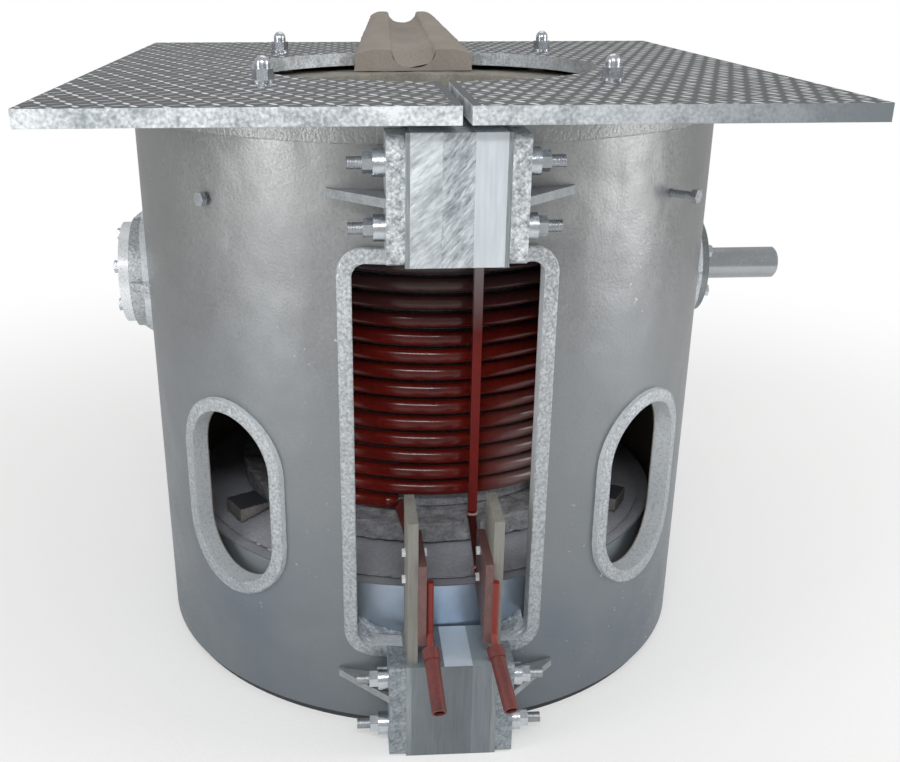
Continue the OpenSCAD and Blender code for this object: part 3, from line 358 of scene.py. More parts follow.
@dataclass(frozen=True)
class CastFinish(Finish):
    """Aluminium paint on a sand casting: painted shade toward its foot, and painted glints on its raised,
    rougher lips.

    Attributes:
        foot: colour of the painted shade near the ground.
        painted_shade_m: height at which the painted shade starts, and at which it is darkest.
        lip: colour of the painted glints on the raised lips, bosses and hole walls, and of the flecks.
        lip_radius: distance from the middle past which the casting counts as a lip.
        inside: colour of the bare inner wall.
        inner_radius: distance from the middle below which the wall counts as the inside.
        joint: height of the joint between the shell's castings, whose filled edges stay unseen.
        glint_mm: size of the painted glints' spots.
        fleck_mm: size of the bright flecks, and of the regions that have any.
    """

    foot: str = "#727B84"
    painted_shade_m: Pair = (0.95, 0.1)
    lip: str = "#DCE2E6"
    lip_radius: float = 0.4812
    inside: str = "#8B847A"
    inner_radius: float = 0.458
    joint: float = 0.535
    glint_mm: float = 2.2
    fleck_mm: Pair = (5.0, 160.0)

    def survey(self, tree: Tree) -> Known:
        """Adds the distance from the middle, and the walls of the holes, which do not face away from it."""
        known = super().survey(tree)
        level = {0: known["place"], 1: (1.0, 1.0, 0.0)}
        flat = add_node(tree, "VectorMath", level, operation="MULTIPLY").outputs[0]
        known["radius"] = add_node(tree, "VectorMath", {0: flat}, operation="LENGTH").outputs["Value"]
        out = add_node(tree, "VectorMath", {0: flat}, operation="NORMALIZE").outputs[0]
        both = {0: out, 1: known["facing"]}
        known["outward"] = add_node(tree, "VectorMath", both, operation="DOT_PRODUCT").outputs["Value"]
        add_chain(tree, known, (
            ("outward", "ABSOLUTE", "outward"), ("across", "MapRange", "outward", 0.75, 0.55),
            ("past", "LESS_THAN", "radius", self.lip_radius + 0.009),
            ("reveal", "MULTIPLY", "across", "past"),
        ))
        return known

    def matt(self, tree: Tree, known: Known) -> Any:
        """Finds the thickly painted walls of the holes and the dusty inside."""
        rows = (("within", "LESS_THAN", "radius", self.inner_radius), ("matt", "MAXIMUM", "reveal", "within"))
        return add_chain(tree, known, rows)

    def soften(self, tree: Tree, known: Known) -> Any:
        """Softens only the lips and the walls of the holes, away from the joint between the castings."""
        soft = super().soften(tree, known)
        edge = add_chain(tree, known, (
            ("raised", "GREATER_THAN", "radius", self.lip_radius), ("edge", "MAXIMUM", "raised", "reveal"),
            ("off joint", "ADD", "z", -self.joint), ("off joint", "ABSOLUTE", "off joint"),
            ("clear", "GREATER_THAN", "off joint", 1.5 * self.bevel_mm * MM),
            ("edge", "MULTIPLY", "edge", "clear"),
        ))
        plain = add_node(tree, "NewGeometry").outputs["Normal"]
        return add_node(tree, "Mix", {0: edge, 4: plain, 5: soft}, data_type="VECTOR").outputs[1]

    def paint(self, tree: Tree, known: Known) -> tuple[Any, Any]:
        """Adds the painted shade toward the foot, the painted glints on the lips, a few flecks and the dusty
        inside to the plain paint.
        """
        colour, known["skin"] = super().paint(tree, known)
        fleck_mm, region_mm = self.fleck_mm
        noises = (("sand", self.glint_mm, 2.0), ("fleck", fleck_mm, 2.0), ("region", region_mm, 1.0))
        for name, size_mm, detail in noises:
            known[name] = self.pattern(tree, known["place"], size_mm, detail)
        total = add_chain(tree, known, (
            # Painted shade: the paint darkens toward the foot, in patches.
            ("low", "MapRange", "z", *self.painted_shade_m, 0.0, 0.85),
            ("smear", "MapRange", "coarse", 0.3, 0.7, 0.7, 1.15),
            ("grime", "MULTIPLY", "low", "smear"), ("grime", "MINIMUM", "grime", 1.0),
            ("lip", "MapRange", "radius", self.lip_radius, self.lip_radius + 0.004),
            ("lip", "MAXIMUM", "lip", "reveal"),
            # Painted glints: bright spots on the lips and hole walls, fewer toward the foot.
            ("spots", "MapRange", "sand", 0.35, 0.68, 0.25, 0.85),
            ("spots", "MULTIPLY_ADD", "reveal", 0.45, "spots"),
            ("spots", "MINIMUM", "spots", 1.0), ("clean", "MapRange", "z", 0.1, 0.7, 0.6, 1.0),
            ("spots", "MULTIPLY", "spots", "clean"), ("sparkle", "MULTIPLY", "lip", "spots"),
            ("fleck", "MapRange", "fleck", 0.71, 0.75, 0.0, 0.5), ("region", "MapRange", "region", 0.5, 0.62),
            ("fleck", "MULTIPLY", "fleck", "region"),
            ("inner", "MapRange", "radius", self.inner_radius, self.inner_radius - 0.002),
            ("extra", "MULTIPLY", "lip", "sand"), ("total", "MULTIPLY_ADD", "extra", 2.5, "skin"),
        ))
        over = {"grime": self.foot, "sparkle": self.lip, "fleck": self.lip, "inner": self.inside}
        for mask, cover in over.items():
            colour = self.blend(tree, known[mask], colour, cover)
        return colour, total


@dataclass(frozen=True)
class CheckerFinish(Finish):
    """Rolled tread plate: rows of raised lenses that slant to alternate sides, on a darker ground.

    Attributes:
        lens: colour of the painted highlight on the lenses.
        edge: colours of the plate's cut edges on the left, in their hollows and on their high spots.
        painted_shade_edge: colour of the painted shade on the cut edges toward the right.
        pitch_mm: distance from lens to lens.
        size: length and width of a lens, as shares of the pitch.
        turn_deg: turn of the rows on the plate.
        border_mm: half width of the plain strip along the gap between the plates.
        gap_x_mm: where the gap between the plates is.
    """

    lens: str = "#EEF1F2"
    edge: tuple[str, str] = ("#9CA3A8", "#E9EEF1")
    painted_shade_edge: str = "#7A8186"
    pitch_mm: float = 21.6
    size: Pair = (0.57, 0.2)
    turn_deg: float = -19.0
    border_mm: float = 17.0
    gap_x_mm: float = 8.0

    def paint(self, tree: Tree, known: Known) -> tuple[Any, Any]:
        """Draws the lenses with their painted highlight on the top face, and leaves the edges rough and
        bright, with painted shade toward the right.
        """
        colour, known["grit"] = super().paint(tree, known)
        turn = {"Vector": known["place"], "Rotation": [0.0, 0.0, math.radians(self.turn_deg)]}
        turned = add_node(tree, "Mapping", turn, vector_type="TEXTURE").outputs[0]
        known["plate x"], known["plate y"], _ = add_node(tree, "SeparateXYZ", {0: turned}).outputs
        per_lens = {0: turned, 1: (1 / self.pitch_mm / MM,) * 3}
        cell = add_node(tree, "VectorMath", per_lens, operation="MULTIPLY").outputs[0]
        cell = add_node(tree, "VectorMath", {0: cell}, operation="FLOOR").outputs[0]
        known["luck"] = add_node(tree, "TexWhiteNoise", {"Vector": cell}).outputs["Value"]
        add_chain(tree, known, self.sums())
        colour = self.blend(tree, known["worn"], colour, self.lens)
        edge = self.blend(tree, known["spots"], *self.edge)
        edge = self.blend(tree, known["far"], edge, self.painted_shade_edge)
        return self.blend(tree, known["top"], edge, colour), known["relief"]

    def sums(self) -> tuple[tuple[Any, ...], ...]:
        """Lists the rows that place the lenses and part the edges.

        Returns:
            The rows, as add_chain takes them.
        """
        pitch, gap, border = self.pitch_mm * MM, self.gap_x_mm * MM, self.border_mm * MM
        long, wide = (DIAGONAL / share for share in self.size)
        return (
            # The cell that a point is in, counted from outside the plate, and which way it slants.
            ("across", "DIVIDE", "plate x", pitch), ("along", "DIVIDE", "plate y", pitch),
            ("column", "FLOOR", "across"), ("row", "FLOOR", "along"), ("cell", "ADD", "column", "row"),
            ("cell", "ADD", "cell", 400.0), ("odd", "MODULO", "cell", 2.0),
            ("side", "MULTIPLY_ADD", "odd", 2.0, -1.0),
            # The point's place in its cell, along the lens and over its width.
            ("u", "FRACT", "across"), ("u", "SUBTRACT", "u", 0.5),
            ("v", "FRACT", "along"), ("v", "SUBTRACT", "v", 0.5),
            ("side u", "MULTIPLY", "side", "u"), ("side v", "MULTIPLY", "side", "v"),
            ("length", "ADD", "u", "side v"), ("length", "MULTIPLY", "length", long),
            ("width", "SUBTRACT", "v", "side u"), ("width", "MULTIPLY", "width", wide),
            # The lens's height, which falls from its middle and is 0 along the gap between the plates.
            ("length", "MULTIPLY", "length", "length"), ("width", "MULTIPLY", "width", "width"),
            ("reach", "ADD", "length", "width"), ("lens", "MULTIPLY_ADD", "reach", -1.8, 1.8),
            ("lens", "MINIMUM", "lens", 1.0), ("lens", "MAXIMUM", "lens", 0.0),
            ("aside", "SUBTRACT", "x", gap), ("aside", "ABSOLUTE", "aside"),
            ("field", "GREATER_THAN", "aside", border), ("lens", "MULTIPLY", "lens", "field"),
            # The painted highlight on the lenses: stronger on one slant than on the other, in patches, and
            # for each lens by its luck.
            ("rubbed", "MULTIPLY_ADD", "odd", -0.55, 1.0), ("rubbed", "MULTIPLY", "rubbed", "lens"),
            ("wear", "MULTIPLY_ADD", "coarse", 0.8, 0.15), ("wear", "ADD", "wear", "luck"),
            ("worn", "MULTIPLY", "rubbed", "wear"), ("worn", "MINIMUM", "worn", 1.0),
            ("top", "GREATER_THAN", "up", 0.5), ("raised", "MULTIPLY", "lens", "top"),
            ("relief", "MULTIPLY_ADD", "raised", 5.0, "grit"),
            # The cut edges: bright on their high spots, with painted shade toward the right.
            ("both", "ADD", "coarse", "grit"), ("spots", "MapRange", "both", 0.75, 1.2),
            ("far", "MapRange", "x", 0.0, 0.5),
        )


@dataclass(frozen=True)
class ThreadFinish(Finish):
    """Steel with the ridges of a rolled thread round its axis.

    Attributes:
        pitch_mm: distance from ridge to ridge.
        axis: x, y or z, for ridges that follow one another along that axis.
        root: colour of the bottoms between the ridges.
    """

    pitch_mm: float = 2.0
    axis: str = "x"
    root: str = "#26282A"

    def paint(self, tree: Tree, known: Known) -> tuple[Any, Any]:
        """Adds the ridges to the relief, and darkens the bottoms between them."""
        colour, _ = super().paint(tree, known)
        shade = add_chain(tree, known, (
            ("turns", "MULTIPLY", self.axis, math.tau / (self.pitch_mm * MM)), ("ridge", "SINE", "turns"),
            ("ridge", "MapRange", "ridge", -1.0, 1.0), ("shade", "MapRange", "ridge", 0.0, 0.5, 0.3, 0.0),
        ))
        return self.blend(tree, shade, colour, self.root), known["ridge"]


@dataclass(frozen=True)
class BarFinish(Finish):
    """Thinly painted flat copper, with a redder water tube brazed to its edge.

    Attributes:
        tube: colour of the water tube.
        left_mm: place along X past which the left bar's tube starts.
        right_mm: place along X past which the right bar's tube starts.
    """

    tube: str = "#7C2921"
    left_mm: float = -31.8
    right_mm: float = 65.4

    def paint(self, tree: Tree, known: Known) -> tuple[Any, Any]:
        """Reddens the water tubes."""
        colour, height = super().paint(tree, known)
        tubes = add_chain(tree, known, (
            ("left", "GREATER_THAN", "x", self.left_mm * MM), ("left bar", "LESS_THAN", "x", 0.0),
            ("left", "MULTIPLY", "left", "left bar"), ("right", "GREATER_THAN", "x", self.right_mm * MM),
            ("tubes", "MAXIMUM", "left", "right"),
        ))
        return self.blend(tree, tubes, colour, self.tube), height


@dataclass(frozen=True)
class HeightShiftFinish(Finish):
    """A coat whose colour changes with height, such as the painted sheen on the coil's upper turns.

    Attributes:
        higher_colour: colour at the top of the change.
        from_mm: height at which the change starts.
        to_mm: height at which it is complete.
        amount: how much of the colour changes, from 0 to 1.
        sheen_amount: how strong the painted sheen on its lower right is, from 0 to 1.
        spray: colour of the painted sheen.
        sheen_x: places along X where the painted sheen starts and where it is strongest.
        sheen_z: heights where it starts and where it is strongest.
    """

    higher_colour: str = "#241110"
    from_mm: float = 650.0
    to_mm: float = 880.0
    amount: float = 0.8
    sheen_amount: float = 0.0
    spray: str = "#8C8886"
    sheen_x: Pair = (0.075, 0.135)
    sheen_z: Pair = (0.52, 0.36)

    def paint(self, tree: Tree, known: Known) -> tuple[Any, Any]:
        """Changes the plain colour with height, and lays a painted sheen on its lower right."""
        colour, height = super().paint(tree, known)
        add_chain(tree, known, (
            # The change with height, which on the coil is a painted sheen on the upper turns.
            ("heat", "MapRange", "z", self.from_mm * MM, self.to_mm * MM, 0.0, self.amount),
            # A painted sheen on the lower right.
            ("right", "MapRange", "x", *self.sheen_x), ("low", "MapRange", "z", *self.sheen_z),
            ("spray", "MULTIPLY", "right", "low"), ("spray", "MULTIPLY", "spray", self.sheen_amount),
        ))
        colour = self.blend(tree, known["heat"], colour, self.higher_colour)
        return self.blend(tree, known["spray"], colour, self.spray), height


@dataclass(frozen=True)
class DrumFinish(Finish):
    """Sheet that shines in the middle of the window, and is dusty with cement round the sides.

    Attributes:
        dust: colour of the cement dust.
        clean_x: middle of the clean front along X.
        clean_half: half width at which the dust starts, and at which it is thick.
    """

    dust: str = "#868E93"
    clean_x: float = 0.04
    clean_half: Pair = (0.05, 0.24)

    def paint(self, tree: Tree, known: Known) -> tuple[Any, Any]:
        """Lays the dust on the sides."""
        colour, height = super().paint(tree, known)
        return self.blend(tree, self.matt(tree, known), colour, self.dust), height

    def matt(self, tree: Tree, known: Known) -> Any:
        """Finds the dusty sides."""
        return add_chain(tree, known, (
            ("aside", "SUBTRACT", "x", self.clean_x), ("aside", "ABSOLUTE", "aside"),
            ("side", "MapRange", "aside", *self.clean_half),
        ))


# The numbers after the two colours are always: metallic share, lowest and highest roughness, size of the
# patches, size of the grit, height of the grit and of the waves, all in mm, and the contrast.

# Sand-cast aluminium under aluminium paint: soft silver sheen, pitted skin, shallow dents.
CAST = CastFinish(
    "aluminium_sand_cast_painted", "#A4A5A4", "#8B8C8C", 0.8, (0.3, 0.5), 110.0, 2.2, 0.3, 14.0, 0.1,
    bevel_mm=4.0,
)
# The rim under the platform is the same casting, with dull grey in place of the painted glints and flecks on
# its lip, so it looks smooth.
RIM = replace(CAST, name="aluminium_rim_cast_painted", lip="#9FA1A0")
# The ears are cut castings: a crumbly chipped face, with bright paint on its high spots.
EAR = Finish(
    "aluminium_chiselled_ear_painted", "#E6EBEE", "#868C91", 0.45, (0.28, 0.46), 5.0, 1.8, 1.6, 2.6, 0.45,
    tilt_deg=(0.0, 55.0, 0.0), bevel_mm=2.5,
)
# The lower ears are the same casting, painted darker as shade, and flatter.
LOW_EAR = replace(
    EAR, name="chiselled_low_ear_aluminium_paint_painted_shade", light="#A3ACB2", dark="#6C7378", metallic=0.35,
    relief_mm=1.0,
)
# Fins and smaller castings under the same paint.
FIN = Finish("aluminium_cast_fin_painted", "#A4A8AA", "#7D8285", 0.45, (0.4, 0.55), 12.0, 2.0, 0.5, 1.0, 0.2)
# Lathe-turned trunnion flange: nearly bare metal, painted near white as a highlight, with a soft band where
# the light falls.
LIT_TRUNNION = Finish(
    "turned_flange_painted_highlight", "#FAFCFD", "#DCE1E4", 0.4, (0.24, 0.34), 40.0, 2.0, 0.06, 0.4, 0.1,
)
# Tread plate: dark rolled ground, with a painted highlight on the lenses.
CHECKER = CheckerFinish(
    "aluminium_rolled_tread_plate", "#5C6164", "#323639", 0.3, (0.38, 0.55), 26.0, 2.4, 0.5, 1.5, 0.4,
    bevel_mm=1.5,
)
# Sawn laminate blocks under brushed aluminium paint: the brush marks run across them on a slant.
BLOCK_BRIGHT = Finish(
    "laminate_block_brushed_aluminium_paint", "#ECF2F6", "#A0A7AD", 0.35, (0.3, 0.46), 15.0, 1.6, 0.7, 2.4,
    0.35, grain=Grain.SHORT_X, tilt_deg=(0.0, -40.0, 0.0), bevel_mm=2.0,
)
# The middle block is darker, with finer and shorter slanting marks.
BLOCK_DARK = Finish(
    "laminate_block_slant_brushed_paint", "#D3DADF", "#83898F", 0.35, (0.3, 0.46), 4.0, 1.2, 0.7, 1.0, 0.5,
    grain=Grain.SHORT_X, tilt_deg=(0.0, -50.0, 0.0), bevel_mm=2.0,
)
# The right block is even and pale, with faint upright marks.
BLOCK_SMOOTH = Finish(
    "laminate_block_smooth_aluminium_paint", "#DCE3E9", "#C2C9CE", 0.3, (0.32, 0.42), 18.0, 2.5, 0.2, 0.8,
    0.15, grain=Grain.ALONG_Z, bevel_mm=2.0,
)
# The lower blocks: the same aluminium paint, painted darker grey as shade, with tops painted paler as a
# reflection.
BLOCK_LOW = Finish(
    "laminate_block_aluminium_paint_painted_shade", "#7A8186", "#666C71", 0.25, (0.42, 0.55), 10.0, 2.0, 0.25, 0.5,
    0.2, grain=Grain.ALONG_Z, top="#7D8890",
)
# The middle and right lower blocks in other tones, with a bright blue-white painted reflection on the middle
# one's top.
BLOCK_LOW_MIDDLE = replace(
    BLOCK_LOW, name="laminate_block_middle_aluminium_paint", light="#757B81", dark="#60666C", top="#DCEBF8",
)
BLOCK_LOW_RIGHT = replace(
    BLOCK_LOW, name="laminate_block_right_aluminium_paint", light="#858C92", dark="#6B7278", top="#A3B0B8",
)
# Sawn strips beside the blocks: dull grey, with fine upright saw marks.
STRIP = Finish(
    "laminate_strip_sawn", "#9DA3A5", "#70767A", 0.2, (0.5, 0.65), 6.0, 1.5, 0.4, 0.0, 0.3,
    grain=Grain.ALONG_Z,
)
# Zinc-plated steel: cool white shine with faint stains.
ZINC = Finish("steel_zinc_plated", "#DCE1E6", "#B7BDC4", 0.95, (0.16, 0.28), 14.0, 2.0, 0.02, 0.0, 0.1)
# The bolt heads on the terminal boards: zinc-plated steel painted near white as a highlight, so they look
# like small white dots.
BOLT = replace(ZINC, name="steel_bolt_painted_highlight", light="#F6F8FA", dark="#DADEE2", metallic=0.3)
# Rolled threads: bright crests over dark roots, which make the studs glitter.
STUD = ThreadFinish(
    "steel_rolled_thread", "#B9BDC1", "#8E9398", 0.9, (0.26, 0.38), 10.0, 1.0, 0.35, 0.0, 0.2, axis="x",
)
POST_STUD = replace(STUD, name="steel_rolled_thread_upright", axis="z")
# The cover by the axle is the same turned metal, painted greyer than the flange as shade, with the same soft
# band of light.
SHADED_COVER = replace(
    LIT_TRUNNION, name="turned_cover_painted_shade", light="#9DA2A5", dark="#7A8083", metallic=0.8, rough=(0.2, 0.3),
)
# Oiled steel off the lathe: dark, with a soft band of light along it.
AXLE = Finish("steel_turned_oiled", "#BDC2C5", "#A2A7AA", 0.95, (0.2, 0.28), 30.0, 1.5, 0.02, 0.0, 0.1)
# The bush: warm yellow metal with faint turning marks, seen only in its gap.
BRONZE = Finish("bronze_turned", "#B08A50", "#84643A", 0.9, (0.3, 0.45), 20.0, 1.5, 0.1)
# Cold-rolled sheet with a bluish satin skin that takes soft reflections.
DRUM = DrumFinish(
    "steel_cold_rolled_sheet", "#C6D6EA", "#AEBFD4", 0.75, (0.28, 0.36), 160.0, 8.0, 0.02, 0.8, 0.05,
)
# Black floor plate, dull and dark under the lining.
FLOOR_STEEL = Finish("steel_plate_black_painted", "#3C3F41", "#2A2C2E", 0.0, (0.55, 0.7), 60.0, 3.0, 0.2)
# Trowelled refractory cement: matt grey, smeared smooth, sandy where it was left rough.
CEMENT = Finish(
    "refractory_cement_trowelled", "#A9ACB4", "#898B92", 0.0, (0.7, 0.85), 45.0, 2.5, 0.4, 2.0, 0.2,
)
# Cement left rough round the coil: lumpy, sandy and matt.
ROUGH_CEMENT = Finish(
    "refractory_cement_rough", "#9D9EA2", "#6B6C70", 0.0, (0.8, 0.95), 12.0, 2.6, 1.2, 2.5, 0.35,
)
# Crumbs of refractory sand with paint over them: a broken, whitish edge.
CRUMB = Finish(
    "refractory_sand_crumbs_painted", "#D8E0E6", "#98A0A8", 0.15, (0.55, 0.8), 7.0, 2.0, 1.2, 0.0, 0.5,
)
# Firebricks: sandy sawn sides under a nearly black top.
BRICK = Finish("firebrick_sawn_dark_top", "#8A8785", "#5E5B5A", 0.0, (0.85, 0.95), 18.0, 2.0, 0.8, top="#3A3C42")
# Rammed refractory: pale, coarse and lumpy.
RAMMED = Finish("refractory_rammed_lining", "#A29E94", "#7D7A72", 0.0, (0.8, 0.95), 30.0, 3.0, 0.9, 2.0, 0.3)
# Cast refractory concrete: warm grey and fully matt, with shallow swells.
SPOUT = Finish("refractory_concrete_cast", "#A29A91", "#857E76", 0.0, (0.75, 0.9), 45.0, 2.5, 0.6, 2.0, 0.15)
# Copper tube under dark red insulating varnish: glossy blood red; the upper turns go dark grey as a painted
# sheen in place of their silvery highlights, and the lower right has a painted grey sheen.
COIL = HeightShiftFinish(
    "copper_tube_red_varnish", "#6C1A13", "#4A130E", 0.0, (0.14, 0.24), 35.0, 4.0, 0.1, 0.0, 0.2, ior=1.42,
    higher_colour="#4C4041", from_mm=615.0, to_mm=715.0, amount=0.95, sheen_amount=0.35,
)
# The rail in front of the coil: dull red at its foot, paler above.
RAIL = HeightShiftFinish(
    "copper_bar_red_varnish", "#7E160E", "#62120B", 0.0, (0.3, 0.42), 30.0, 3.0, 0.1, 0.0, 0.2, ior=1.35,
    higher_colour="#BDBAB9", from_mm=620.0, to_mm=760.0, amount=0.95,
)
# Where the rail turns under the boards it is darker.
RAIL_FOOT = replace(RAIL, name="copper_bar_dark_varnish", light="#4E1D1A", dark="#331414")
# Flat bars under thin paint: brownish copper shows through the red.
BAR = BarFinish("copper_bar_thin_red_paint", "#7C5A57", "#574241", 0.1, (0.4, 0.6), 30.0, 3.0, 0.15, 0.0, 0.3)
# Hose tails under red oxide paint: dull, chalky and unevenly dark.
TUBE = Finish(
    "copper_tube_red_oxide_paint", "#73302C", "#4B2422", 0.0, (0.42, 0.55), 22.0, 2.5, 0.25, 0.0, 0.3,
)
# Braze beads: pinkish silver lumps where two leads meet.
BRAZE = Finish("silver_braze_bead", "#C99C98", "#8F5F5A", 0.3, (0.35, 0.5), 60.0, 2.0)
# Varnished laminate posts behind the coil: brown, with upright grain.
POST = Finish(
    "beech_laminate_varnished", "#5B4636", "#3A2C22", 0.0, (0.5, 0.65), 12.0, 2.0, 0.2,
    grain=Grain.ALONG_Z,
)
# Cement board: light warm grey, with faint upright saw marks.
BOARD = Finish(
    "cement_board_sawn", "#93918A", "#76756F", 0.0, (0.65, 0.8), 16.0, 2.0, 0.25, 0.0, 0.25,
    grain=Grain.ALONG_Z,
)

WORN_BY: tuple[tuple[Finish, str], ...] = (
    (CAST, "shell_lower_left shell_lower_right shell_upper_left shell_upper_right shell_back"),
    (RIM, "top_rim"), (FIN, "ear_fins axle_housing"), (FLOOR_STEEL, "floor_plate"),
    (EAR, "upper_ear_left upper_ear_right"), (LOW_EAR, "lower_ear_left lower_ear_right"),
    (STRIP, "upper_clamp_strips lower_clamp_strips"),
    (BLOCK_BRIGHT, "upper_clamp_block_left"), (BLOCK_DARK, "upper_clamp_block_middle"),
    (BLOCK_SMOOTH, "upper_clamp_block_right"), (BLOCK_LOW, "lower_clamp_block_left"),
    (BLOCK_LOW_MIDDLE, "lower_clamp_block_middle"), (BLOCK_LOW_RIGHT, "lower_clamp_block_right"),
    (STUD, "clamp_studs"), (POST_STUD, "platform_studs"), (BOLT, "terminal_bolts"),
    (ZINC, "clamp_bushes clamp_nuts platform_washers platform_cap_nuts platform_lock_nuts side_bolts"),
    (ZINC, "axle_cover_bolts drive_flange_bolts"), (CHECKER, "platform_left platform_right"),
    (AXLE, "stub_axle"), (BRONZE, "axle_bush"), (SHADED_COVER, "axle_cover"), (LIT_TRUNNION, "drive_flange"),
    (DRUM, "base_drum"), (CEMENT, "base_refractory cement_shoulder"), (ROUGH_CEMENT, "coil_seat coil_cement"),
    (BRICK, "floor_blocks"), (RAMMED, "crucible_lining mouth_ring"), (SPOUT, "pouring_spout"),
    (COIL, "induction_coil"), (POST, "coil_posts"), (RAIL, "upper_lead"), (RAIL_FOOT, "rail_foot_lead"),
    (TUBE, "lower_lead hose_tail_left hose_tail_right"), (BAR, "terminal_bar_left terminal_bar_right"),
    (BOARD, "terminal_board_left terminal_board_right"),
)


class Wardrobe:
    """Builds each finish once and puts it on objects."""

    def __init__(self) -> None:
        """Starts with no material made."""
        self.made: dict[str, bpy.types.Material] = {}

    def dress(self, obj: bpy.types.Object, finish: Finish) -> None:
        """Puts a finish on the whole object.

        Args:
            obj: the object that gets it.
            finish: the finish.
        """
        if finish.name not in self.made:
            self.made[finish.name] = finish.build()
        obj.data.materials.clear()
        obj.data.materials.append(self.made[finish.name])


@dataclass
class RoughCopy:
    """A weathered copy of a cement or cast solid, chipped and uneven where the CAD solid is true.

    Attributes:
        node: the CAD node that it replaces.
        name: the piece's name.
        slot: the record's slot; not used.
        finish: its finish.
        voxel_mm: size of the mesh that it is rebuilt with.
        depth_mm: how deep the unevenness goes.
        lump_mm: size of the lumps.
        smooth: passes of smoothing, which round its edges.
    """

    node: str
    name: str
    slot: str
    finish: Finish
    voxel_mm: float = 5.0
    depth_mm: float = 2.5
    lump_mm: float = 22.0
    smooth: int = 3

    def build(self, frame: dict[str, Any], wardrobe: Wardrobe) -> bpy.types.Object:
        """Copies, remeshes and roughens the solid, inward only, and puts it in the node's place.

        Args:
            frame: the loaded CAD frame.
            wardrobe: the finishes.

        Returns:
            The new piece.
        """
        mesh = frame["nodes"][self.node].data.copy()
        piece = bpy.data.objects.new(self.name, mesh)
        bpy.context.scene.collection.objects.link(piece)
        remesh = piece.modifiers.new("remesh", "REMESH")
        remesh.mode = "VOXEL"
        remesh.voxel_size = self.voxel_mm * MM
        soften = piece.modifiers.new("soften", "SMOOTH")
        soften.iterations = self.smooth
        graph = bpy.context.evaluated_depsgraph_get()
        solid = bpy.data.meshes.new_from_object(piece.evaluated_get(graph))
        piece.modifiers.clear()
        piece.data = solid
        low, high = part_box(self.node)
        inner = 0.6 * MM
        normals = [v.normal.copy() for v in solid.vertices]
        for vertex, normal in zip(solid.vertices, normals):
            at = vertex.co / (self.lump_mm * MM)
            depth = 0.5 + 0.5 * noise.noise(at) + 0.35 * noise.noise(at * 3.1)
            vertex.co -= normal * (max(0.0, depth) * self.depth_mm * MM + inner)
            for axis in range(3):
                vertex.co[axis] = min(max(vertex.co[axis], low[axis]), high[axis])
        for face in solid.polygons:
            face.use_smooth = True
        wardrobe.dress(piece, self.finish)
        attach(piece, FURNACE)
        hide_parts(self.node)
        LOG.info("%s: %d faces", self.name, len(solid.polygons))
        return piece


@dataclass
class Coil:
    """The wound copper tube, with the soft corners of a drawn section.

    Attributes:
        outer_mm: radius at the tube's outer face.
        width_mm: depth of the tube.
        height_mm: height of the tube.
        corner_mm: how far its outer face bulges.
        pitch_mm: distance from turn to turn.
        start_deg: angle of the lower end from the front.
        loops: turns wound.
        low_mm: height of the lower end's middle.
        rings: rings of points per turn.
        uneven_mm: how far the turns stray up and down.
        end_turn: part of a turn at each end that stays true, where the leads meet it.
    """

    outer_mm: float = 300.0
    width_mm: float = 22.0
    height_mm: float = 23.0
    corner_mm: float = 9.0
    pitch_mm: float = 29.0
    start_deg: float = -12.0
    loops: float = 20.0 - 22.0 / 360.0
    low_mm: float = 309.96
    rings: int = 96
    uneven_mm: float = 0.7
    end_turn: float = 0.02

    def section(self) -> list[Pair]:
        """Gives the tube's outline.

        Returns:
            Points as radius and height from the tube's middle, in mm, anticlockwise.
        """
        inner, half = self.outer_mm - self.width_mm, self.height_mm / 2
        points = [(inner, -half)]
        for step in range(13):
            turn = math.radians(-90.0 + 15.0 * step)
            points.append((self.outer_mm - self.corner_mm * (1.0 - math.cos(turn)), half * math.sin(turn)))
        return points + [(inner, half)]

    def build(self, wardrobe: Wardrobe) -> bpy.types.Object:
        """Winds the tube and puts it in the CAD coil's place.

        Args:
            wardrobe: the finishes.

        Returns:
            The new piece.
        """
        outline = self.section()
        count = round(self.loops * self.rings)
        shape = bmesh.new()
        rings = []
        for i in range(count + 1):
            turned = self.loops * i / count
            angle = math.radians(self.start_deg - 360.0 * turned)
            spot = Vector((math.sin(angle) * 2.0, math.cos(angle) * 2.0, turned * 1.7))
            uneven = self.uneven_mm * noise.noise(spot)
            wound = self.end_turn < turned < self.loops - self.end_turn
            rise = self.low_mm + self.pitch_mm * turned + (uneven if wound else 0.0)
            ring = []
            for radius, up in outline:
                reach = radius if radius < self.outer_mm - self.width_mm + 1 else radius - 0.05
                x, y = reach * math.sin(angle) * MM, -reach * math.cos(angle) * MM
                ring.append(shape.verts.new((x, y, (rise + up) * MM)))
            rings.append(ring)
        lay_skin(shape, rings)
        shape.faces.new(rings[0])
        shape.faces.new(list(reversed(rings[-1])))
        bmesh.ops.recalc_face_normals(shape, faces=shape.faces)
        piece = make_piece("wound_coil", shape)
        wardrobe.dress(piece, COIL)
        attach(piece, FURNACE)
        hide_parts("induction_coil")
        return piece


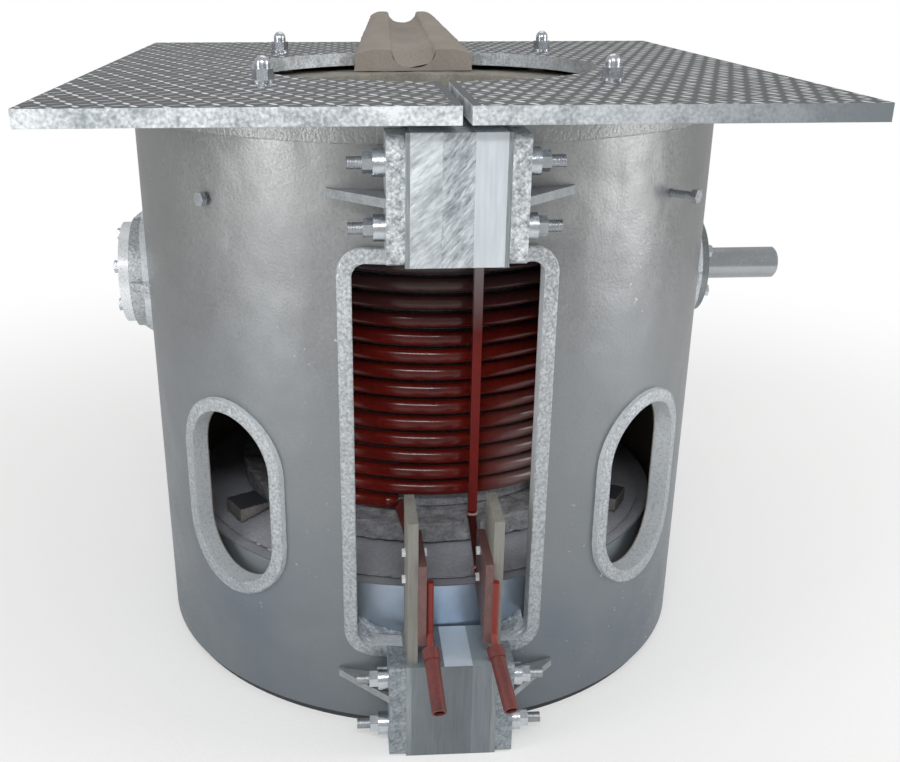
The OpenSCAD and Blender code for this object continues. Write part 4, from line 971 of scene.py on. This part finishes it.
@dataclass
class Packing:
    """Crumbly cement packed between the drum and the shell at a lower corner of the window.

    Attributes:
        name: the piece's name.
        x_mm: where it starts and ends along X.
        high_first: whether its high end is at the first of these.
        radius_mm: inner and outer radius of the packing.
        foot_mm: height of its underside.
        top_mm: height of its low and its high end.
        cell_mm: size of the mesh's cells.
        lumps_mm: size and height of the lumps, from the coarsest.
    """

    name: str
    x_mm: Pair
    high_first: bool = True
    radius_mm: Pair = (433.8, 478.0)
    foot_mm: float = 148.0
    top_mm: Pair = (152.0, 176.0)
    cell_mm: float = 1.4
    lumps_mm: tuple[Pair, ...] = ((11.0, 4.0), (4.2, 2.6), (1.9, 1.1))

    def build(self, wardrobe: Wardrobe) -> bpy.types.Object:
        """Heaps the packing as a lumpy wedge with a closed underside.

        Args:
            wardrobe: the finishes.

        Returns:
            The new piece.
        """
        columns = round(abs(self.x_mm[1] - self.x_mm[0]) / self.cell_mm)
        rows = round((self.radius_mm[1] - self.radius_mm[0]) / self.cell_mm)
        shape = bmesh.new()
        rings = []
        for i in range(columns + 1):
            part = i / columns
            x = self.x_mm[0] + (self.x_mm[1] - self.x_mm[0]) * part
            top, foot = [], []
            for j in range(rows + 1):
                radius = self.radius_mm[0] + (self.radius_mm[1] - self.radius_mm[0]) * j / rows
                crest = self.crest(part if not self.high_first else 1.0 - part, j / rows, x, radius)
                for line, z in ((top, crest), (foot, self.foot_mm)):
                    line.append(shape.verts.new((x * MM, -math.sqrt(radius**2 - x**2) * MM, z * MM)))
            rings.append(top + foot[::-1])
        lay_skin(shape, rings)
        for end in (rings[0], rings[-1]):
            for j in range(rows):
                shape.faces.new((end[j], end[-1 - j], end[-2 - j], end[j + 1]))
        bmesh.ops.recalc_face_normals(shape, faces=shape.faces)
        piece = make_piece(self.name, shape)
        wardrobe.dress(piece, CRUMB)
        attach(piece, FURNACE)
        return piece

    def crest(self, rise: float, depth: float, x: float, radius: float) -> float:
        """Gives the packing's height at a point, in mm.

        Args:
            rise: 0 at the low end, 1 at the high end.
            depth: 0 at the drum, 1 at the sill.
            x: place along X, in mm.
            radius: distance from the middle, in mm.

        Returns:
            The height of its top face.
        """
        spot = Vector((x, radius, 3.0))
        lump = sum(noise.noise(spot / size) * height for size, height in self.lumps_mm)
        slope = rise**1.5 * (1.0 - 0.45 * depth)
        edge = min(1.0, 4.0 * rise + 0.3)
        low, high = self.top_mm
        return max(self.foot_mm + 0.5, low + (high - low) * slope + lump * edge)


@dataclass
class Spout:
    """The cast concrete pouring spout: a round-bottomed groove between two walls with sloping shoulders.

    Attributes:
        start_mm: distance of the inner end from the middle.
        end_mm: distance of the tip from the middle.
        hole_mm: radius of the platform's hole, past which the spout lies on the platform.
        foot_mm: height of its underside in the hole and on the platform.
        top_mm: height of its top at the inner end and at the tip.
        half_mm: half width at the inner end and at the tip.
        groove_mm: half width of the groove at the inner end and at the tip.
        floor_mm: height of the groove's floor at the inner end, at the hole's edge and at the tip.
        shoulder_mm: width and fall of the sloping shoulders.
        rings: cross-sections along it.
    """

    start_mm: float = 240.0
    end_mm: float = 600.0
    hole_mm: float = 288.7
    foot_mm: Pair = (955.0, 986.0)
    top_mm: Pair = (993.0, 1047.0)
    half_mm: Pair = (112.0, 68.5)
    groove_mm: Pair = (42.0, 30.0)
    floor_mm: Triple = (960.0, 991.0, 1025.5)
    shoulder_mm: Pair = (34.0, 9.0)
    rings: int = 120

    def section(self, part: float, foot: float) -> list[Pair]:
        """Gives the outline of one cross-section.

        Args:
            part: 0 at the inner end, 1 at the tip.
            foot: height of the underside there.

        Returns:
            Points as X and Z in mm, round the section.
        """

        def mix(pair: Pair) -> float:
            """Gives a size at this cross-section."""
            return pair[0] + (pair[1] - pair[0]) * part

        half, top, groove = mix(self.half_mm), mix(self.top_mm), mix(self.groove_mm)
        edge = (self.hole_mm - self.start_mm) / (self.end_mm - self.start_mm)
        inner, rest, tip = self.floor_mm
        if part < edge:
            floor = inner + (rest - inner) * part / edge
        else:
            floor = rest + (tip - rest) * (part - edge) / (1 - edge)
        wide, fall = self.shoulder_mm
        wide *= (half - groove) / (self.half_mm[0] - self.groove_mm[0])
        right = []
        for step in range(9):
            turn = math.radians(90.0 * step / 8)
            climb = (1.0 - math.cos(turn)) ** 1.15
            right.append((groove * math.sin(turn), floor + (top - floor - 3.0) * climb))
        round_mm = 2.5
        right.append((groove + round_mm, top - 0.7))
        for step in range(1, 7):
            right.append((groove + round_mm + (half - wide - groove - round_mm) * step / 6, top))
        for step in range(1, 5):
            right.append((half - wide + wide * step / 4, top - fall * (step / 4) ** 1.5))
        for step in range(1, 7):
            right.append((half, top - fall - (top - fall - foot) * step / 6))
        for step in range(1, 8):
            right.append((half * (1.0 - step / 7), foot))
        left = [(-x, z) for x, z in reversed(right[1:-1])]
        return right + left

    def build(self, wardrobe: Wardrobe) -> bpy.types.Object:
        """Casts the spout and puts it in the CAD spout's place.

        Args:
            wardrobe: the finishes.

        Returns:
            The new piece.
        """
        low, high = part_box("pouring_spout")
        shape = bmesh.new()
        rows = []
        stations = [i / self.rings for i in range(self.rings + 1)]
        step = (self.hole_mm - self.start_mm) / (self.end_mm - self.start_mm)
        stations = sorted([s for s in stations if abs(s - step) > 0.004] + [step, step + 0.0004])
        for part in stations:
            y = self.start_mm + (self.end_mm - self.start_mm) * part
            outline = self.section(part, self.foot_mm[0] if part <= step else self.foot_mm[1])
            row = []
            for x, z in outline:
                spot = Vector((x, y, z))
                dent = 1.3 * noise.noise(spot / 26.0) + 0.6 * noise.noise(spot / 8.0) - 1.0
                if z > self.foot_mm[0] + 1:
                    inward = Vector((-x, 0.0, (self.foot_mm[1] - z) * 0.4)).normalized()
                    spot += inward * min(0.0, dent) * -1.0
                spot = spot * MM
                for axis in range(3):
                    spot[axis] = min(max(spot[axis], low[axis]), high[axis])
                row.append(shape.verts.new(spot))
            rows.append(row)
        lay_skin(shape, rows)
        for row in (rows[0], rows[-1]):
            shape.faces.new(row)
        bmesh.ops.triangulate(shape, faces=[f for f in shape.faces if len(f.verts) > 4])
        bmesh.ops.recalc_face_normals(shape, faces=shape.faces)
        piece = make_piece("spout_concrete", shape)
        for face in piece.data.polygons:
            face.use_smooth = len(face.vertices) == 4
        wardrobe.dress(piece, SPOUT)
        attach(piece, FURNACE)
        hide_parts("pouring_spout")
        return piece


@dataclass
class BrazeBead:
    """A lumpy ring of braze round a joint between two leads.

    Attributes:
        name: the piece's name.
        at_mm: its middle.
        along: the way that the joined tube runs.
        radius_mm: radius of the ring.
        bead_mm: radius of the bead.
        sides: points round the ring and round the bead.
    """

    name: str
    at_mm: Triple
    along: Triple
    radius_mm: float = 7.6
    bead_mm: float = 2.2
    sides: tuple[int, int] = (28, 10)

    def build(self, wardrobe: Wardrobe) -> bpy.types.Object:
        """Lays the bead.

        Args:
            wardrobe: the finishes.

        Returns:
            The new piece.
        """
        turn = Vector(self.along).to_track_quat("Z", "Y")
        shape = bmesh.new()
        rings = []
        for i in range(self.sides[0]):
            a = math.tau * i / self.sides[0]
            swell = 1.0 + 0.35 * noise.noise(Vector((math.cos(a), math.sin(a), self.at_mm[2])) * 2.0)
            ring = []
            for j in range(self.sides[1]):
                b = math.tau * j / self.sides[1]
                reach = self.radius_mm + self.bead_mm * swell * math.cos(b)
                spot = Vector((reach * math.cos(a), reach * math.sin(a), self.bead_mm * swell * math.sin(b)))
                ring.append(shape.verts.new((turn @ spot + Vector(self.at_mm)) * MM))
            rings.append(ring)
        lay_skin(shape, [*rings, rings[0]])
        bmesh.ops.recalc_face_normals(shape, faces=shape.faces)
        piece = make_piece(self.name, shape)
        wardrobe.dress(piece, BRAZE)
        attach(piece, FURNACE)
        return piece


@dataclass
class Studio:
    """The pale floor, the soft lights, the white surroundings and the camera.

    Attributes:
        floor_m: size of the floor.
        eye_m: where the camera is.
        yaw_deg: how far it turns toward +X.
        pitch_deg: how far it looks down.
        lens_mm: focal length on a 36 mm sensor.
        shift: sideways and upward shift of the frame, in frame widths.
        glow_m: distances over which the floor turns white for the camera.
        world_light: strength of the white surroundings as light and in reflections.
    """

    floor_m: float = 30.0
    eye_m: Triple = (-0.1512, -1.92, 1.1414)
    yaw_deg: float = 3.42
    pitch_deg: float = 22.74
    lens_mm: float = 43.8
    shift: Pair = (0.0538, 0.0464)
    glow_m: Pair = (0.7, 2.6)
    world_light: float = 0.5

    def build(self) -> None:
        """Makes the floor, the lights, the world and the camera."""
        self.lay_floor()
        self.hang_light("key", (-0.25, -2.48, 2.2), (1.2, 0.25), 25.0)
        self.hang_light("left_box", (-2.3, -1.5, 1.2), (0.9, 1.9), 24.0)
        self.hang_light("right_box", (2.5, -0.8, 1.2), (0.9, 1.9), 26.0)
        self.hang_light("top", (0.2, 1.4, 3.6), (2.4, 2.4), 16.0)
        self.fill_world()
        camera = bpy.data.objects.new("camera", bpy.data.cameras.new("camera"))
        camera.location = self.eye_m
        camera.rotation_euler = Euler((math.radians(90.0 - self.pitch_deg), 0.0, math.radians(-self.yaw_deg)))
        camera.data.lens = self.lens_mm
        camera.data.sensor_width = 36.0
        camera.data.shift_x, camera.data.shift_y = self.shift
        bpy.context.scene.collection.objects.link(camera)
        bpy.context.scene.camera = camera
        bpy.context.scene.view_settings.view_transform = "Standard"

    def lay_floor(self) -> None:
        """Lays a pale matt floor under the furnace."""
        shape = bmesh.new()
        bmesh.ops.create_grid(shape, x_segments=1, y_segments=1, size=self.floor_m / 2)
        floor = make_piece("studio_floor", shape)
        paint = Finish("studio_floor_paint", "#F4F4F3", "#EFEFEE", rough=(0.8, 0.9), patch_mm=900.0)
        material = paint.build()
        floor.data.materials.append(material)
        tree = material.node_tree
        output = next(n for n in tree.nodes if n.bl_idname == "ShaderNodeOutputMaterial")
        place = add_node(tree, "TexCoord").outputs["Object"]
        away = add_node(tree, "VectorMath", {0: place}, operation="LENGTH").outputs["Value"]
        reach = {0: away, 1: self.glow_m[0], 2: self.glow_m[1], 3: 0.35, 4: 1.0}
        far = add_node(tree, "MapRange", reach, interpolation_type="SMOOTHSTEP")
        seen = add_node(tree, "LightPath").outputs["Is Camera Ray"]
        amount = add_node(tree, "Math", {0: far.outputs[0], 1: seen}, operation="MULTIPLY").outputs[0]
        white = add_node(tree, "Emission", {"Color": srgb("#FFFFFF"), "Strength": 1.0}).outputs[0]
        plain = output.inputs[0].links[0].from_socket
        mixed = add_node(tree, "MixShader", {0: amount, 1: plain, 2: white}).outputs[0]
        tree.links.new(mixed, output.inputs[0])

    def hang_light(
        self, name: str, at_m: Triple, size_m: Pair, watts: float
    ) -> None:
        """Hangs one soft rectangular light that faces the furnace.

        Args:
            name: the light's name.
            at_m: where it hangs.
            size_m: its width and height.
            watts: its power.
        """
        lamp = bpy.data.lights.new(name, "AREA")
        lamp.shape = "RECTANGLE"
        lamp.size, lamp.size_y = size_m
        lamp.energy = watts
        light = bpy.data.objects.new(name, lamp)
        light.location = at_m
        light.rotation_euler = (Vector((0.0, 0.0, 0.5)) - Vector(at_m)).to_track_quat("-Z", "Y").to_euler()
        bpy.context.scene.collection.objects.link(light)

    def fill_world(self) -> None:
        """Makes the surroundings white to the eye, and softer as light and in reflections."""
        world = bpy.data.worlds.new("studio")
        bpy.context.scene.world = world
        world.use_nodes = True
        tree = world.node_tree
        tree.nodes.clear()
        path = add_node(tree, "LightPath").outputs
        white = {0: path["Is Camera Ray"], 3: self.world_light, 4: 1.0}
        strength = add_node(tree, "MapRange", white).outputs[0]
        light = add_node(tree, "Background", {"Color": srgb("#FFFFFF"), "Strength": strength})
        add_node(tree, "OutputWorld", {"Surface": light.outputs[0]})


def main() -> None:
    """Loads the CAD frame, dresses it, and adds the rough pieces and the studio."""
    logging.basicConfig(level=logging.INFO, format="%(message)s")
    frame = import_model()
    wardrobe = Wardrobe()
    finishes = {name: finish for finish, names in WORN_BY for name in names.split()}
    for name, node in frame["nodes"].items():
        wardrobe.dress(node, finishes[name])
        LOG.info("%s: %s", name, finishes[name].name)
    Coil().build(wardrobe)
    for rough in (
        RoughCopy("coil_seat", "coil_seat_rough", "cement", ROUGH_CEMENT, 4.0, 5.0, 16.0, 2),
        RoughCopy("cement_shoulder", "shoulder_trowelled", "cement", CEMENT, 5.0, 2.0, 60.0, 3),
        RoughCopy("mouth_ring", "mouth_rammed", "crucible_refractory", RAMMED, 5.0, 2.0, 26.0, 3),
        RoughCopy("floor_blocks", "floor_bricks_chipped", "brick", BRICK, 3.0, 1.6, 12.0, 2),
    ):
        rough.build(frame, wardrobe)
    Spout().build(wardrobe)
    for packing in (
        Packing("packing_left", (-131.5, -62.0)),
        Packing("packing_right", (84.0, 131.5), high_first=False, top_mm=(154.0, 180.0)),
    ):
        packing.build(wardrobe)
    for bead in (
        BrazeBead("braze_rail_foot", (60.0, -326.0, 309.0), (0.0, 0.0, -1.0)),
        BrazeBead("braze_bar_right", (57.5, -430.5, 262.5), (0.0, -1.0, -0.4)),
        BrazeBead("braze_bar_left", (-38.5, -430.5, 262.5), (0.1, -1.0, -0.4)),
    ):
        bead.build(wardrobe)
    Studio().build()


if __name__ == "__main__":
    main()
